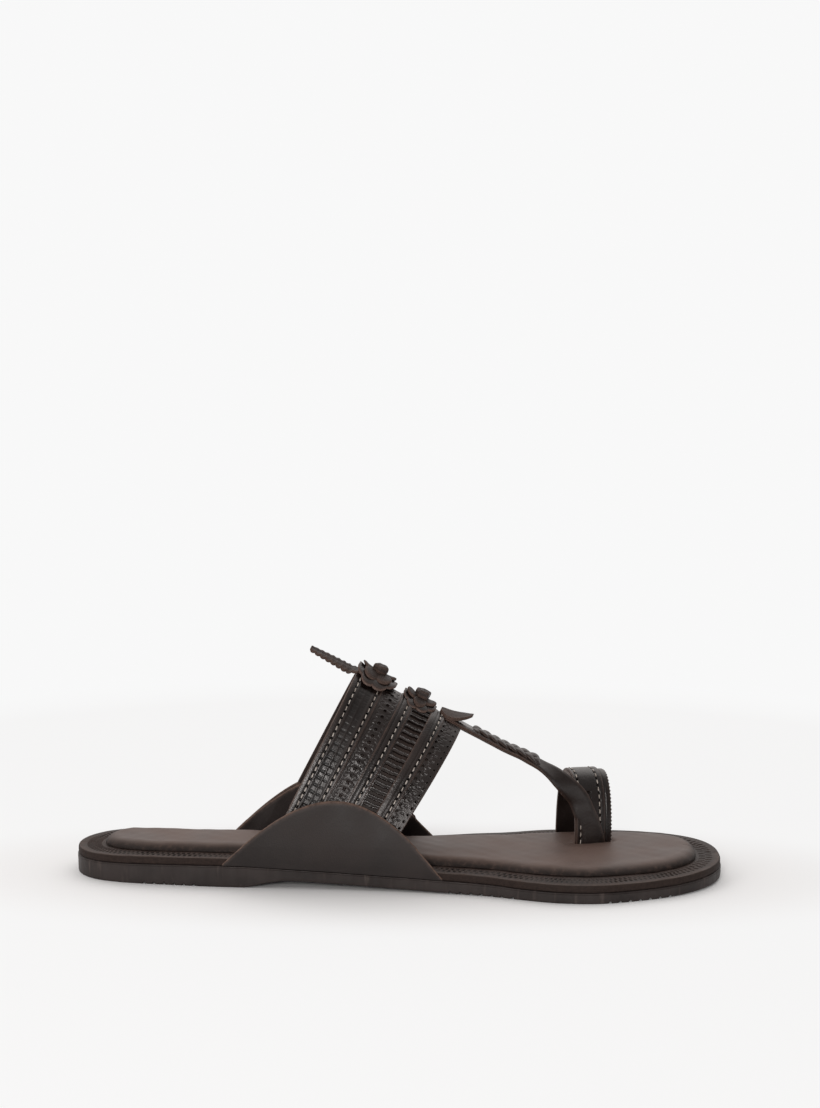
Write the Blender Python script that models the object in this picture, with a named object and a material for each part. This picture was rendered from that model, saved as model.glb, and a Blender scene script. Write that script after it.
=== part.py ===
"""Right leather sandal with a toe ring: an instep band of sewn strips held in two side flaps,
a braided toe strap, a toe ring, two rosettes and two leaves, on a low-heeled sole.

+X points to the toe, +Y to the big-toe side, +Z up. The origin is on the floor, under the middle
of the sole. Sizes are in millimetres, and the meshes are made in metres.
"""

import math

import bmesh
import bpy
import numpy as np
from mathutils import Matrix, Vector

MM = 0.001

# Driving sizes of the sole
SOLE_LENGTH = 286.5
BALL_WIDTH = 96.5
OUTSOLE_THICKNESS = 4.7
HEEL_LIFT = 4.3
TOE_SPRING = 1.2
EDGE_CHAMFER = 0.5
BOARD_THICKNESS = 3.0
BOARD_INSET = 0.4
PAD_HEIGHT = 3.7
PAD_MARGIN = 14.0
PAD_SHOULDER = 3.6
PAD_SIDE = 0.28         # share of its height up to which its side is upright
PAD_ROUNDNESS = 1.6
PAD_LEVELS = (0.0, 0.18, 0.42, 0.72, 1.0)
GROOVE_WIDTH = 1.2
GROOVE_DEPTH = 1.0
GROOVE_PITCH = 4.4

# Driving sizes of the upper
INSTEP_HEIGHT_REAR = 89.9
INSTEP_HEIGHT_FRONT = 66.7
BAND_WALL = 1.8
STRIP_STEP = 0.6
BAND_END_HEIGHT = 18.0
FLAP_LAYER = 1.1
FLAP_PEAK_HEIGHT = {"lateral": 37.3, "medial": 40.0}
FLAP_END_HEIGHT = 1.0   # least height of a flap at its two ends
FLAP_END_GAP = 0.8      # how far a flap's end faces stand inside its span
RING_WALL = 2.2
RING_WIDTH = 17.0
RING_CLEAR_WIDTH = 26.0
RING_CREST_HEIGHT = 42.0
STRAP_WIDTH = 11.0
STRAP_THICKNESS = 2.8
STRAP_END_THICKNESS = 1.9
BRAID_RISE = 0.9
BRAID_COUNT = 6

# Driving sizes of the ornaments
TAIL_LENGTH = 31.5
TAIL_ROOT_WIDTH = 10.0
TAIL_TIP_WIDTH = 4.0
TAIL_THICKNESS = 1.2
TAIL_DROOP = 1.0
TAIL_TEETH = 12
TAIL_TAPER = 1.2        # above 1 the tail keeps its width longer from the root
TAIL_FREE = 0.28        # share of its length that lies on the band
TAIL_UNBEND = 0.6       # share of the band's fall that is gone at its tip
TOOTH_DEPTH = 0.6
FRONT_LEAF_LENGTH = 14.5
FRONT_LEAF_WIDTH = 11.0
FRONT_LEAF_THICKNESS = 1.4
FRONT_LEAF_RISE = 3.5   # how far its point rises off the band's slope, over its whole length
FRONT_LEAF_BEND = 0.6   # share of the band's fall to which it is bent
LEAF_LEAST_WIDTH = 1.6
PLATE_DIAMETER = {"rear": 20.0, "front": 17.0}
PLATE_THICKNESS = 0.9
PETAL_DIAMETER = {"rear": 17.0, "front": 15.0}
PETAL_THICKNESS = 0.9
PETAL_CURL = 0.9
PLATE_LOBES = 8
PLATE_NOTCH = 1.2
PETAL_LOBES = 5
PETAL_NOTCH = 2.6
KNOB_WIDTH = 7.2
KNOB_HEIGHT = 3.4
KNOB_CORNER_COUNT = 6
KNOB_TAPER = 0.88       # width of the knob's top as a share of its foot

# Gaps between pieces
CLEARANCE = 0.3
FACET_ROOM = 0.25       # more room where two bent faceted pieces lie on each other

# Outline of the sole: share of the length, then its middle line and its half width as shares
# of half the ball width, and the pad's margin as a share of its widest margin
OUTLINE = (
    # along, middle, half, margin
    (0.000, 0.093, 0.520, 0.90),
    (0.060, 0.096, 0.520, 0.80),
    (0.119, 0.050, 0.520, 0.70),
    (0.235, -0.034, 0.520, 0.70),
    (0.351, -0.068, 0.540, 0.70),
    (0.509, -0.060, 0.610, 0.75),
    (0.554, -0.040, 0.665, 0.80),
    (0.639, 0.000, 0.790, 0.90),
    (0.747, 0.000, 0.982, 1.00),
    (0.790, 0.000, 1.000, 1.00),
    (0.881, 0.060, 1.000, 0.90),
    (1.000, 0.095, 1.000, 0.80),
)
GROOVE_ROWS = (         # share of the sole's length where a row of grooves starts, and its count
    (0.115, 6),
    (0.580, 7),
    (0.815, 7),
)
HEEL_ROUND = 0.095      # length of the round heel end, as a share of the sole's length
TOE_ROUND = 0.265       # length of the round toe end
HEEL_POWER = 2.1
TOE_POWER = 2.4

# Side profile of the outsole's underside and top: share of the length, then shares of the
# heel lift under the sole and above the floor
PROFILE = (
    # along, underside, top
    (0.000, 0.00, 0.84),
    (0.120, 0.00, 0.98),
    (0.235, 0.00, 1.10),
    (0.262, 0.00, 1.10),
    (0.275, 0.10, 1.09),
    (0.312, 0.66, 1.02),
    (0.335, 0.84, 0.96),
    (0.400, 0.66, 0.75),
    (0.480, 0.38, 0.50),
    (0.560, 0.16, 0.28),
    (0.640, 0.02, 0.12),
    (0.690, 0.00, 0.00),
    (0.860, 0.00, 0.00),
    (1.000, 0.00, 0.00),
)

# Where the upper stands on the sole, as shares of the sole's length
BAND_FOOT_REAR = 0.3067
BAND_FOOT_FRONT = 0.4898
BAND_CREST_REAR = 0.4295
BAND_CREST_FRONT = 0.5920
FLAP_SPAN = {"lateral": (0.235, 0.573), "medial": (0.227, 0.568)}
CREST_OFFSET = 0.165    # sideways place of the crest, as a share of half the ball width
SECTION_POWER = {"lateral": 1.75, "medial": 2.1}
SIDE = {"lateral": -1.0, "medial": 1.0}

# Strips sewn on the band: shares of the band's width where each raised strip starts and ends
RAISED_STRIPS = (
    # start, end
    (0.000, 0.070),
    (0.235, 0.275),
    (0.475, 0.555),
    (0.745, 0.830),
)
STEP_RUN = 0.004        # share of the band's width in which a strip's edge rises
BAND_FILL_SECTIONS = (0.15, 0.37, 0.65, 0.92)

# Route of the toe strap: shares of the length, of half the ball width, and of the instep
# height at the front; then width and twist. Twist 0 lies flat, and 1 faces sideways.
STRAP_ROUTE = (
    # along, aside, up, width, twist
    (0.572, 0.165, 1.038, 1.00, 0.00),
    (0.584, 0.165, 1.008, 1.00, 0.00),
    (0.602, 0.165, 0.962, 1.00, 0.00),
    (0.630, 0.170, 0.900, 0.95, 0.00),
    (0.661, 0.176, 0.830, 0.86, 0.03),
    (0.692, 0.184, 0.770, 0.76, 0.10),
    (0.722, 0.194, 0.700, 0.74, 0.28),
    (0.748, 0.208, 0.616, 0.80, 0.60),
)
# Its lower end beside the ring's near leg: share of the height from the pad to the ring's crest,
# how far behind the leg's middle as a share of the ring's width, and width
STRAP_LOWER_ROUTE = (
    # up, behind, width
    (0.68, 0.470, 0.86),
    (0.42, 0.247, 0.90),
    (0.16, 0.070, 0.93),
    (-0.04, 0.000, 0.95),
)
STRAP_FOOT_WIDTH = 0.95     # width where it stands on the outsole
STRAP_SINK = 0.3            # share of its thickness that is joined into the ring's leg
# Section of the toe strap: shares of half its width and of half its thickness, and how much of
# the left and the right braid strip's rise each corner takes
STRAP_SECTION = (
    # across, up, left, right
    (-1.00, 0.35, 0.0, 0.0),
    (-0.62, 1.00, 1.0, 0.0),
    (0.00, 1.00, 0.5, 0.5),
    (0.62, 1.00, 0.0, 1.0),
    (1.00, 0.35, 0.0, 0.0),
    (1.00, -0.60, 0.0, 0.0),
    (0.00, -1.00, 0.0, 0.0),
    (-1.00, -0.60, 0.0, 0.0),
)
BRAID_SPAN = (0.14, 0.46)   # shares of the strap's length where the braid starts and ends
BRAID_FADE = 0.06
FLAT_RUN = 0.10             # share of its length in which it thins to the flat end

# Toe ring: shares of the length and of half the ball width
RING_ALONG = 0.793
RING_ASIDE = 0.567
RING_SKEW = math.radians(14)
RING_POWER = 2.5

ROSETTES_ALONG = {"rear": 0.175, "front": 0.585}
LEAF_ALONG = 0.91
LEAF_PIVOT = 0.35       # place along the front leaf where it lies on the strap's start
LEAF_POINTS = 5         # points across a leaf
ORNAMENT_REACH = 0.17   # share of the band's width that an ornament reaches to each side

# How finely the curves are drawn
SOLE_PAIRS = 44         # pairs of points from heel to toe
SOLE_END_TURN = (0.055, 0.045)      # turn in radians that is left off at the heel and the toe
BAND_POINTS = 27        # points over the foot on each side of the band's wall
BAND_CROWDING = 1.35    # above 1 the band's points crowd towards its crest
SECTION_SAMPLES = 400   # samples up each side of a section before it is offset
CURVE_SAMPLES = 600     # even samples over the whole section
NORMAL_WINDOW = 31      # odd count of samples over which the crest's normals are averaged
CREST_SAMPLES = 801
CREST_STEP = 0.02       # shares of the band's width between which the crest's slope is taken
FLAP_COLUMNS = 27
FLAP_ROWS = 8
SLOPE_STEP = 0.5        # distance over which the last's slope is taken
HOLD_START = 0.22       # shares of the band's width outside it where a flap is still thin
HOLD_RUN = 0.14         # and in which its wall then grows to hold the band
RING_POINTS = 27
STRAP_POINTS = 46
ROUTE_STEPS = 30
SHARP_ANGLE = math.radians(35)


def smooth_table(table, column):
    """A smooth curve through one column of a table, as a function of the first column."""
    xs = np.array([row[0] for row in table], float)
    ys = np.array([row[column] for row in table], float)
    steps = np.diff(ys) / np.diff(xs)
    slopes = np.zeros(len(xs))
    same = steps[:-1] * steps[1:] > 0
    slopes[1:-1][same] = 2 / (1 / steps[:-1][same] + 1 / steps[1:][same])

    def value(x):
        x = np.clip(x, xs[0], xs[-1])
        i = np.clip(np.searchsorted(xs, x, side="right") - 1, 0, len(xs) - 2)
        gap = xs[i + 1] - xs[i]
        t = (x - xs[i]) / gap
        return (
            ys[i] * (1 + 2 * t) * (1 - t) ** 2
            + ys[i + 1] * t * t * (3 - 2 * t)
            + gap * t * (1 - t) * (slopes[i] * (1 - t) - slopes[i + 1] * t)
        )

    return value


outline_middle = smooth_table(OUTLINE, 1)
outline_half = smooth_table(OUTLINE, 2)
pad_margin = smooth_table(OUTLINE, 3)
underside_share = smooth_table(PROFILE, 1)
top_share = smooth_table(PROFILE, 2)


def smooth_step(t):
    t = np.clip(t, 0.0, 1.0)
    return t * t * (3 - 2 * t)


def edge_place(side, along):
    """Sideways place of the sole's edge, where along runs from the heel end (0) to the toe (1)."""
    heel = np.clip(1 - along / HEEL_ROUND, 0, 1) ** HEEL_POWER
    toe = np.clip(1 - (1 - along) / TOE_ROUND, 0, 1) ** TOE_POWER
    round_end = (1 - heel) ** (1 / HEEL_POWER) * (1 - toe) ** (1 / TOE_POWER)
    return BALL_WIDTH / 2 * (outline_middle(along) + SIDE[side] * outline_half(along) * round_end)


def x_of(along):
    return (along - 0.5) * SOLE_LENGTH


def along_of(x):
    return x / SOLE_LENGTH + 0.5


def toe_rise(x):
    return TOE_SPRING * smooth_step((along_of(x) - 0.86) / 0.14 * 0.5) * 2


def outsole_underside(x):
    return HEEL_LIFT * underside_share(along_of(x)) + toe_rise(x)


def outsole_top(x):
    return OUTSOLE_THICKNESS + HEEL_LIFT * top_share(along_of(x)) + toe_rise(x)


def board_underside(x):
    return outsole_top(x) + CLEARANCE


def board_top(x):
    return board_underside(x) + BOARD_THICKNESS


def pad_underside(x):
    return board_top(x) + CLEARANCE


def outline_pair(inset, margin=None):
    """Points along the lateral and the medial edge, in pairs from heel to toe, moved in by inset."""
    heel_turn, toe_turn = SOLE_END_TURN
    along = 0.5 - 0.5 * np.cos(np.linspace(heel_turn, math.pi - toe_turn, SOLE_PAIRS))
    edges = []
    for side in ("lateral", "medial"):
        x, y = x_of(along), edge_place(side, along)
        dx, dy = np.gradient(x), np.gradient(y)
        length = np.hypot(dx, dy)
        turn = -SIDE[side] * (margin(along) if margin else 1.0)
        moved_x = x - turn * inset * dy / length
        moved_y = y + turn * inset * dx / length
        edges.append(np.column_stack([moved_x, moved_y]))
    return edges


def new_object(name, vertices, faces, collection):
    mesh = bpy.data.meshes.new(name)
    mesh.from_pydata([tuple(v) for v in np.asarray(vertices) * MM], [], faces)
    made = bpy.data.objects.new(name, mesh)
    collection.objects.link(made)
    mesh.update()
    work = bmesh.new()
    work.from_mesh(mesh)
    bmesh.ops.recalc_face_normals(work, faces=work.faces)
    work.to_mesh(mesh)
    work.free()
    return made


def stacked_layer(name, levels, collection, margin=None):
    """A solid with the sole's outline: each level is an inset and a height that follows x."""
    vertices, faces = [], []
    for inset, height in levels:
        lateral, medial = outline_pair(inset, margin)
        ring = np.vstack([lateral, medial[::-1]])
        vertices.extend(np.column_stack([ring, height(ring[:, 0])]))
    count = len(ring)
    pairs = count // 2
    for level in range(len(levels) - 1):
        low, high = level * count, (level + 1) * count
        for i in range(count):
            j = (i + 1) % count
            faces.append((low + i, low + j, high + j, high + i))
    for start in (0, (len(levels) - 1) * count):
        for i in range(pairs - 1):
            faces.append((start + i, start + i + 1, start + count - 2 - i, start + count - 1 - i))
    return new_object(name, vertices, faces, collection)


def loft(name, sections, collection):
    """A solid through closed sections that all have the same number of points."""
    sections = np.asarray(sections, float)
    rows, count = sections.shape[:2]
    faces = []
    for row in range(rows - 1):
        for i in range(count):
            j = (i + 1) % count
            faces.append((row * count + i, row * count + j, (row + 1) * count + j, (row + 1) * count + i))
    for start in (0, (rows - 1) * count):
        half = count // 2
        for i in range(half - 1):
            faces.append((start + i, start + i + 1, start + count - 2 - i, start + count - 1 - i))
    return new_object(name, sections.reshape(-1, 3), faces, collection)


def band_geometry(share):
    """Foot and crest of the band's section at a share of its width, in the side view."""
    foot_x = x_of(BAND_FOOT_REAR + (BAND_FOOT_FRONT - BAND_FOOT_REAR) * share)
    crest_x = x_of(BAND_CREST_REAR + (BAND_CREST_FRONT - BAND_CREST_REAR) * share)
    crest_z = INSTEP_HEIGHT_REAR + (INSTEP_HEIGHT_FRONT - INSTEP_HEIGHT_REAR) * share
    return foot_x, crest_x, crest_z - BAND_WALL - STRIP_STEP - FLAP_LAYER - CLEARANCE


def wall_total():
    """Thickness of a flap where it holds the band: two layers, the band and its room."""
    return 2 * FLAP_LAYER + BAND_WALL + STRIP_STEP + 2 * CLEARANCE


def foot_height(x):
    """Height at which the upper's sections stand on the sole."""
    return board_top(x)


def share_at(x, z):
    """Share of the band's width whose tilted section passes through a point of the side view."""
    rear = band_geometry(0.0)
    front = band_geometry(1.0)
    rise_rear = z - BAND_END_HEIGHT
    lean_rear = (rear[1] - rear[0]) / (rear[2] - BAND_END_HEIGHT)
    lean_front = (front[1] - front[0]) / (front[2] - BAND_END_HEIGHT)
    at_rear = rear[0] + lean_rear * rise_rear
    at_front = front[0] + lean_front * rise_rear
    return (x - at_rear) / (at_front - at_rear)


def last_section(share, side, level):
    """Sideways place of the last's surface, where level runs from the sole (0) to the crest (1).

    Below the band's end the section follows the sole's edge right beneath it."""
    foot_x, crest_x, crest_z = band_geometry(share)
    foot = foot_height(foot_x)
    lean = (crest_x - foot_x) / (crest_z - BAND_END_HEIGHT)
    below = np.minimum(foot + level * (crest_z - foot) - BAND_END_HEIGHT, 0.0)
    crest_y = CREST_OFFSET * BALL_WIDTH / 2
    edge = edge_place(side, along_of(foot_x + lean * below)) - SIDE[side] * wall_total()
    power = SECTION_POWER[side]
    bulge = (1 - np.clip(level, 0, 1) ** power) ** (1 / power)
    return crest_y + (edge - crest_y) * bulge


def last_surface(side, x, z):
    """Sideways place of the last's surface at a point of the side view."""
    share = share_at(x, z)
    crest_z = band_geometry(share)[2]
    foot = foot_height(x)
    return last_section(share, side, (z - foot) / (crest_z - foot))


def band_curve(share, offset, count):
    """Points over the foot from the lateral to the medial end, offset outwards in the tilted plane."""
    foot_x, crest_x, crest_z = band_geometry(share)
    foot = foot_height(foot_x)
    lean = (crest_x - foot_x) / (crest_z - BAND_END_HEIGHT)
    slant = math.hypot(lean, 1.0)
    end_level = (BAND_END_HEIGHT - foot) / (crest_z - foot)
    places = []
    for side in ("lateral", "medial"):
        # levels are closer together near the crest, where the section turns
        level = 1 - (1 - end_level) * (1 - np.linspace(0, 1, SECTION_SAMPLES)) ** 2
        height = (foot + level * (crest_z - foot)) * slant
        curve = np.column_stack([last_section(share, side, level), height])
        places.append(curve if side == "lateral" else curve[::-1][1:])
    curve = np.vstack(places)
    run = np.gradient(curve, axis=0)
    run /= np.hypot(*run.T)[:, None]
    normal = np.column_stack([-run[:, 1], run[:, 0]])
    # the sharp crest is rounded by averaging the normals over a few millimetres
    length = np.concatenate([[0], np.cumsum(np.hypot(*np.diff(curve, axis=0).T))])
    even = np.linspace(0, length[-1], CURVE_SAMPLES)
    curve = np.column_stack([np.interp(even, length, curve[:, k]) for k in (0, 1)])
    normal = np.column_stack([np.interp(even, length, normal[:, k]) for k in (0, 1)])
    window = np.ones(NORMAL_WINDOW) / NORMAL_WINDOW
    beyond = NORMAL_WINDOW // 2
    padded = np.vstack([normal[:1].repeat(beyond, 0), normal, normal[-1:].repeat(beyond, 0)])
    normal = np.column_stack([np.convolve(padded[:, k], window, "valid") for k in (0, 1)])
    normal /= np.hypot(*normal.T)[:, None]
    moved = curve + normal * offset
    crest = moved[:, 1].argmax()
    half = count // 2
    spread = np.linspace(0, 1, half + 1) ** BAND_CROWDING
    at = np.concatenate([crest * (1 - spread[::-1]), crest + (len(even) - 1 - crest) * spread[1:]])
    y = np.interp(at, np.arange(len(even)), moved[:, 0])
    z = np.interp(at, np.arange(len(even)), moved[:, 1]) / slant
    x = foot_x + lean * (z - BAND_END_HEIGHT)
    return np.column_stack([x, y, z])


def band_span():
    """Width of the band along the sole, where it meets the flaps."""
    return band_geometry(1.0)[0] - band_geometry(0.0)[0]


def raised_strips(grow):
    """The sewn strips as shares of the band's width, each wider by grow at both sides."""
    extra = grow / band_span()
    return [(start - extra, end + extra) for start, end in RAISED_STRIPS]


def strip_rise(share, grow):
    """Height of the sewn strips above the band at a share of its width."""
    inside = any(start <= share <= end for start, end in raised_strips(grow))
    return STRIP_STEP if inside else 0.0


def band_shares(grow):
    """Shares of the band's width that have a section, with two at each step."""
    shares = {0.0, 1.0}
    for start, end in raised_strips(grow):
        if start > 0:
            shares |= {start - STEP_RUN, start}
        shares |= {end, end + STEP_RUN}
    for share in BAND_FILL_SECTIONS:
        shares.add(share)
    return sorted(shares)


def make_band(name, collection, grow=0.0, count=BAND_POINTS):
    """The instep band, thicker outside on its sewn strips. With grow it is the room it needs."""
    inner = FLAP_LAYER + CLEARANCE - grow
    sections = []
    for share in band_shares(grow):
        outer = FLAP_LAYER + CLEARANCE + BAND_WALL + strip_rise(share, grow) + grow
        beyond = {0.0: -1.0, 1.0: 1.0}.get(share, 0.0)
        grown = share + beyond * grow / band_span()
        outside = band_curve(grown, outer, count)
        inside = band_curve(grown, inner, count)
        if grow:
            for line in (outside, inside):
                line[[0, -1], 2] -= grow
        sections.append(np.vstack([outside, inside[::-1]]))
    return loft(name, sections, collection)


def flap_top(side, x):
    """Height of a flap's upper edge: one smooth bulge between its two feet."""
    start, end = (x_of(a) for a in FLAP_SPAN[side])
    t = np.clip((x - start) / (end - start), 0, 1)
    return board_underside(x) + (FLAP_PEAK_HEIGHT[side] - board_underside(x)) * np.sin(math.pi * t)


def make_flap(side, name, collection, grow=0.0, rows=FLAP_ROWS):
    """A side flap, standing on the outsole against the board. Thick where it holds the band."""
    start, end = (x_of(a) for a in FLAP_SPAN[side])
    total = wall_total()
    thin = 2 * FLAP_LAYER
    sections = []
    for x in np.linspace(start + FLAP_END_GAP, end - FLAP_END_GAP, FLAP_COLUMNS):
        x_at = x + grow * (2 * (x - start) / (end - start) - 1)
        base = board_underside(x) - (grow if grow else 0.0)
        top = max(flap_top(side, x), base + FLAP_END_HEIGHT) + grow
        z = base + (top - base) * np.linspace(0, 1, rows)
        y = last_surface(side, np.full(rows, x), z)
        slope_z = (last_surface(side, np.full(rows, x), z + SLOPE_STEP) - y) / SLOPE_STEP
        slope_x = (last_surface(side, np.full(rows, x + SLOPE_STEP), z) - y) / SLOPE_STEP
        normal = np.column_stack([-slope_x, np.ones(rows), -slope_z]) * SIDE[side]
        normal /= np.linalg.norm(normal, axis=1)[:, None]
        share = share_at(np.full(rows, x), z)
        behind = smooth_step((share + HOLD_START) / HOLD_RUN)
        held = behind * smooth_step((1 + HOLD_START - share) / HOLD_RUN)
        point = np.column_stack([np.full(rows, x_at), y, z])
        inner = point + normal * ((total - thin) * (1 - held) - grow)[:, None]
        outer = point + normal * (total + grow)
        inner[0, 2] = outer[0, 2] = base
        sections.append(np.vstack([outer, inner[::-1]]))
    return loft(name, sections, collection)


def ring_places(count, grow=0.0):
    """The toe ring's middle line: up one leg, over the toe and down the other leg."""
    centre_x = x_of(RING_ALONG)
    centre_y = RING_ASIDE * BALL_WIDTH / 2
    half = (RING_CLEAR_WIDTH + RING_WALL) / 2
    base = board_underside(centre_x)
    knee = board_top(centre_x)
    turn = np.linspace(0, math.pi, count)
    out = -np.sign(np.cos(turn)) * np.abs(np.cos(turn)) ** (2 / RING_POWER)
    up = np.sin(turn) ** (2 / RING_POWER)
    aside = centre_y + half * out
    height = knee + (RING_CREST_HEIGHT - RING_WALL / 2 - knee) * up
    aside = np.concatenate([[aside[0]], aside, [aside[-1]]])
    height = np.concatenate([[base - grow], height, [base - grow]])
    along = centre_x - math.tan(RING_SKEW) * (aside - centre_y)
    return np.column_stack([along, aside, height])


def make_ring(name, collection, grow=0.0):
    """The toe ring as a flat band carried over the toe. Its legs stand on the outsole."""
    places = ring_places(RING_POINTS, grow)
    centre = np.array([0.0, RING_ASIDE * BALL_WIDTH / 2, RING_CREST_HEIGHT / 3])
    run = np.gradient(places, axis=0)
    run[0] = run[1] = (0, 0, 1)
    run[-1] = run[-2] = (0, 0, -1)
    run /= np.linalg.norm(run, axis=1)[:, None]
    wide = np.array([math.cos(RING_SKEW), math.sin(RING_SKEW), 0.0])
    sections = []
    for place, direction in zip(places, run):
        across = wide - direction * wide.dot(direction)
        across /= np.linalg.norm(across)
        outward = np.cross(direction, across)
        if outward.dot((place - centre) * (0, 1, 1)) < 0:
            outward = -outward
        w, t = RING_WIDTH / 2 + grow, RING_WALL / 2 + grow
        corners = ((-w, t), (w, t), (w, -t), (-w, -t))
        sections.append([place + across * a + outward * b for a, b in corners])
    return loft(name, sections, collection)


def strap_route():
    """Middle line of the toe strap with its width and twist: over the instep, then down the ring."""
    half = BALL_WIDTH / 2
    rows = [
        [x_of(along), aside * half, up * INSTEP_HEIGHT_FRONT, width, twist]
        for along, aside, up, width, twist in STRAP_ROUTE
    ]
    near_x, near_y, _ = ring_places(RING_POINTS)[0]
    face = near_y - RING_WALL / 2 - STRAP_END_THICKNESS * (0.5 - STRAP_SINK)
    foot = board_underside(near_x)
    top = pad_underside(near_x) + PAD_HEIGHT
    rise = RING_CREST_HEIGHT - top
    for share, behind, width in STRAP_LOWER_ROUTE:
        rows.append([near_x - RING_WIDTH * behind, face, top + rise * share, width, 1.0])
    rows.append([near_x, face, foot, STRAP_FOOT_WIDTH, 1.0])
    return np.array(rows)


def smooth_route(rows, count):
    """A smooth curve through the rows (Catmull-Rom), at even steps of length."""
    ends = np.vstack([2 * rows[0] - rows[1], rows, 2 * rows[-1] - rows[-2]])
    fine = []
    for i in range(1, len(ends) - 2):
        t = np.linspace(0, 1, ROUTE_STEPS, endpoint=False)[:, None]
        a, b, c, d = ends[i - 1], ends[i], ends[i + 1], ends[i + 2]
        square = (2 * a - 5 * b + 4 * c - d) * t**2
        cube = (3 * b - a - 3 * c + d) * t**3
        fine.append(0.5 * (2 * b + (c - a) * t + square + cube))
    fine = np.vstack(fine + [rows[-1:]])
    steps = np.linalg.norm(np.diff(fine[:, :3], axis=0), axis=1)
    length = np.concatenate([[0], np.cumsum(steps)])
    even = np.linspace(0, length[-1], count)
    return np.column_stack([np.interp(even, length, fine[:, k]) for k in range(rows.shape[1])])


def make_strap(name, collection, grow=0.0, count=STRAP_POINTS):
    """The toe strap: braided over the instep, then flat, and turned sideways down the ring's leg."""
    rows = smooth_route(strap_route(), count)
    run = np.gradient(rows[:, :3], axis=0)
    run[-4:] = (0, 0, -1)
    run /= np.linalg.norm(run, axis=1)[:, None]
    braid_start, braid_end = BRAID_SPAN
    sections = []
    for k, (row, direction) in enumerate(zip(rows, run)):
        share = k / (count - 1)
        sideways = np.array([0.0, 1.0, 0.0])
        forward = np.cross(sideways, direction)
        forward = -forward if forward[0] < 0 else forward
        quarter = row[4] * math.pi / 2
        across = math.cos(quarter) * sideways + math.sin(quarter) * forward
        across -= direction * across.dot(direction)
        across /= np.linalg.norm(across)
        outward = np.cross(direction, across)
        flat = smooth_step((share - braid_end + BRAID_FADE) / FLAT_RUN)
        thick = STRAP_THICKNESS + (STRAP_END_THICKNESS - STRAP_THICKNESS) * flat
        braided = (1 - flat) * smooth_step((share - braid_start) / BRAID_FADE)
        wave = math.sin(share / braid_end * BRAID_COUNT * math.pi)
        left = braided * BRAID_RISE * max(wave, 0.0)
        right = braided * BRAID_RISE * max(-wave, 0.0)
        w, t = STRAP_WIDTH * row[3] / 2 + grow, thick / 2 + grow
        corners = [(w * a, t * b + left * c + right * d) for a, b, c, d in STRAP_SECTION]
        sections.append([row[:3] + across * a + outward * b for a, b in corners])
    for corner in sections[-1]:
        corner[2] = strap_route()[-1, 2] - grow
    return loft(name, sections, collection)


def band_outside():
    """Distance from the last to the top of the band's raised strips."""
    return FLAP_LAYER + CLEARANCE + BAND_WALL + STRIP_STEP


def crest_frame(share, lift):
    """Place and turn of a piece that lies on the band's crest, lifted off it along the normal."""
    around = (share - CREST_STEP, share + CREST_STEP)
    points = [band_curve(at, band_outside(), CREST_SAMPLES) for at in around]
    tops = [line[line[:, 2].argmax()] for line in points]
    forward = Vector(tops[1] - tops[0]).normalized()
    side = Vector((0, 1, 0))
    up = forward.cross(side).normalized()
    side = up.cross(forward)
    middle = (Vector(tops[0]) + Vector(tops[1])) / 2 + up * lift
    turn = Matrix((forward, side, up)).transposed().to_4x4()
    return Matrix.Translation(middle * MM) @ turn


def crest_fall(share):
    """How far the band falls away beside its crest, as a function of the sideways distance.

    The least fall under the piece counts, so that it clears the band all over."""
    falls = []
    for at in (share - ORNAMENT_REACH, share, share + ORNAMENT_REACH):
        line = band_curve(at, band_outside(), CREST_SAMPLES)
        top = line[:, 2].argmax()
        foot_x, crest_x, crest_z = band_geometry(at)
        slant = math.hypot((crest_x - foot_x) / (crest_z - BAND_END_HEIGHT), 1.0)
        falls.append((line[:, 1] - line[top, 1], (line[top, 2] - line[:, 2]) * slant))
    return lambda distance: np.min([np.interp(distance, aside, fall) for aside, fall in falls], axis=0)


def draped_disc(name, edge, hole, thickness, curl, share, lift, collection, rings=3):
    """A round plate bent over the band's crest, with a round hole where hole isn't 0.

    Its rim curls up by the square of its share of the radius."""
    count = len(edge)
    turn = np.linspace(0, 2 * math.pi, count, endpoint=False)
    fall = crest_fall(share)
    vertices, faces = [], []
    first = 0 if hole else 1
    for base in (0.0, thickness):
        for k in range(first, rings + 1):
            radius = hole + (edge - hole) * k / rings
            rise = curl * (radius / edge.max()) ** 2
            aside = radius * np.sin(turn)
            height = base + rise - fall(aside)
            vertices.extend(np.column_stack([radius * np.cos(turn), aside, height]))
    layer = (rings + 1 - first) * count
    rim = layer - count
    for i in range(count):
        j = (i + 1) % count
        for start in (0, layer):
            for low in range(start, start + rim, count):
                high = low + count
                faces.append((low + i, high + i, high + j, low + j))
        faces.append((rim + i, rim + j, layer + rim + j, layer + rim + i))
        if hole:
            faces.append((i, j, layer + j, layer + i))
    if not hole:
        for base in (0.0, thickness):
            start = layer if base else 0
            vertices.append((0, 0, base))
            for i in range(count):
                faces.append((len(vertices) - 1, start + i, start + (i + 1) % count))
    made = new_object(name, vertices, faces, collection)
    made.matrix_world = crest_frame(share, lift)
    return made


def draped_leaf(name, rows, thickness, share, lift, collection):
    """A leaf along the crest. Each row is its place, half width, share of the fall, and droop."""
    fall = crest_fall(share)
    across = np.linspace(-1, 1, LEAF_POINTS)
    sections = []
    for place, half, bent, droop in rows:
        aside = across * half
        low = np.column_stack([np.full(LEAF_POINTS, place), aside, -fall(aside) * bent - droop])
        high = low + (0, 0, thickness)
        sections.append(np.vstack([high, low[::-1]]))
    made = loft(name, sections, collection)
    made.matrix_world = crest_frame(share, lift)
    return made


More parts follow.
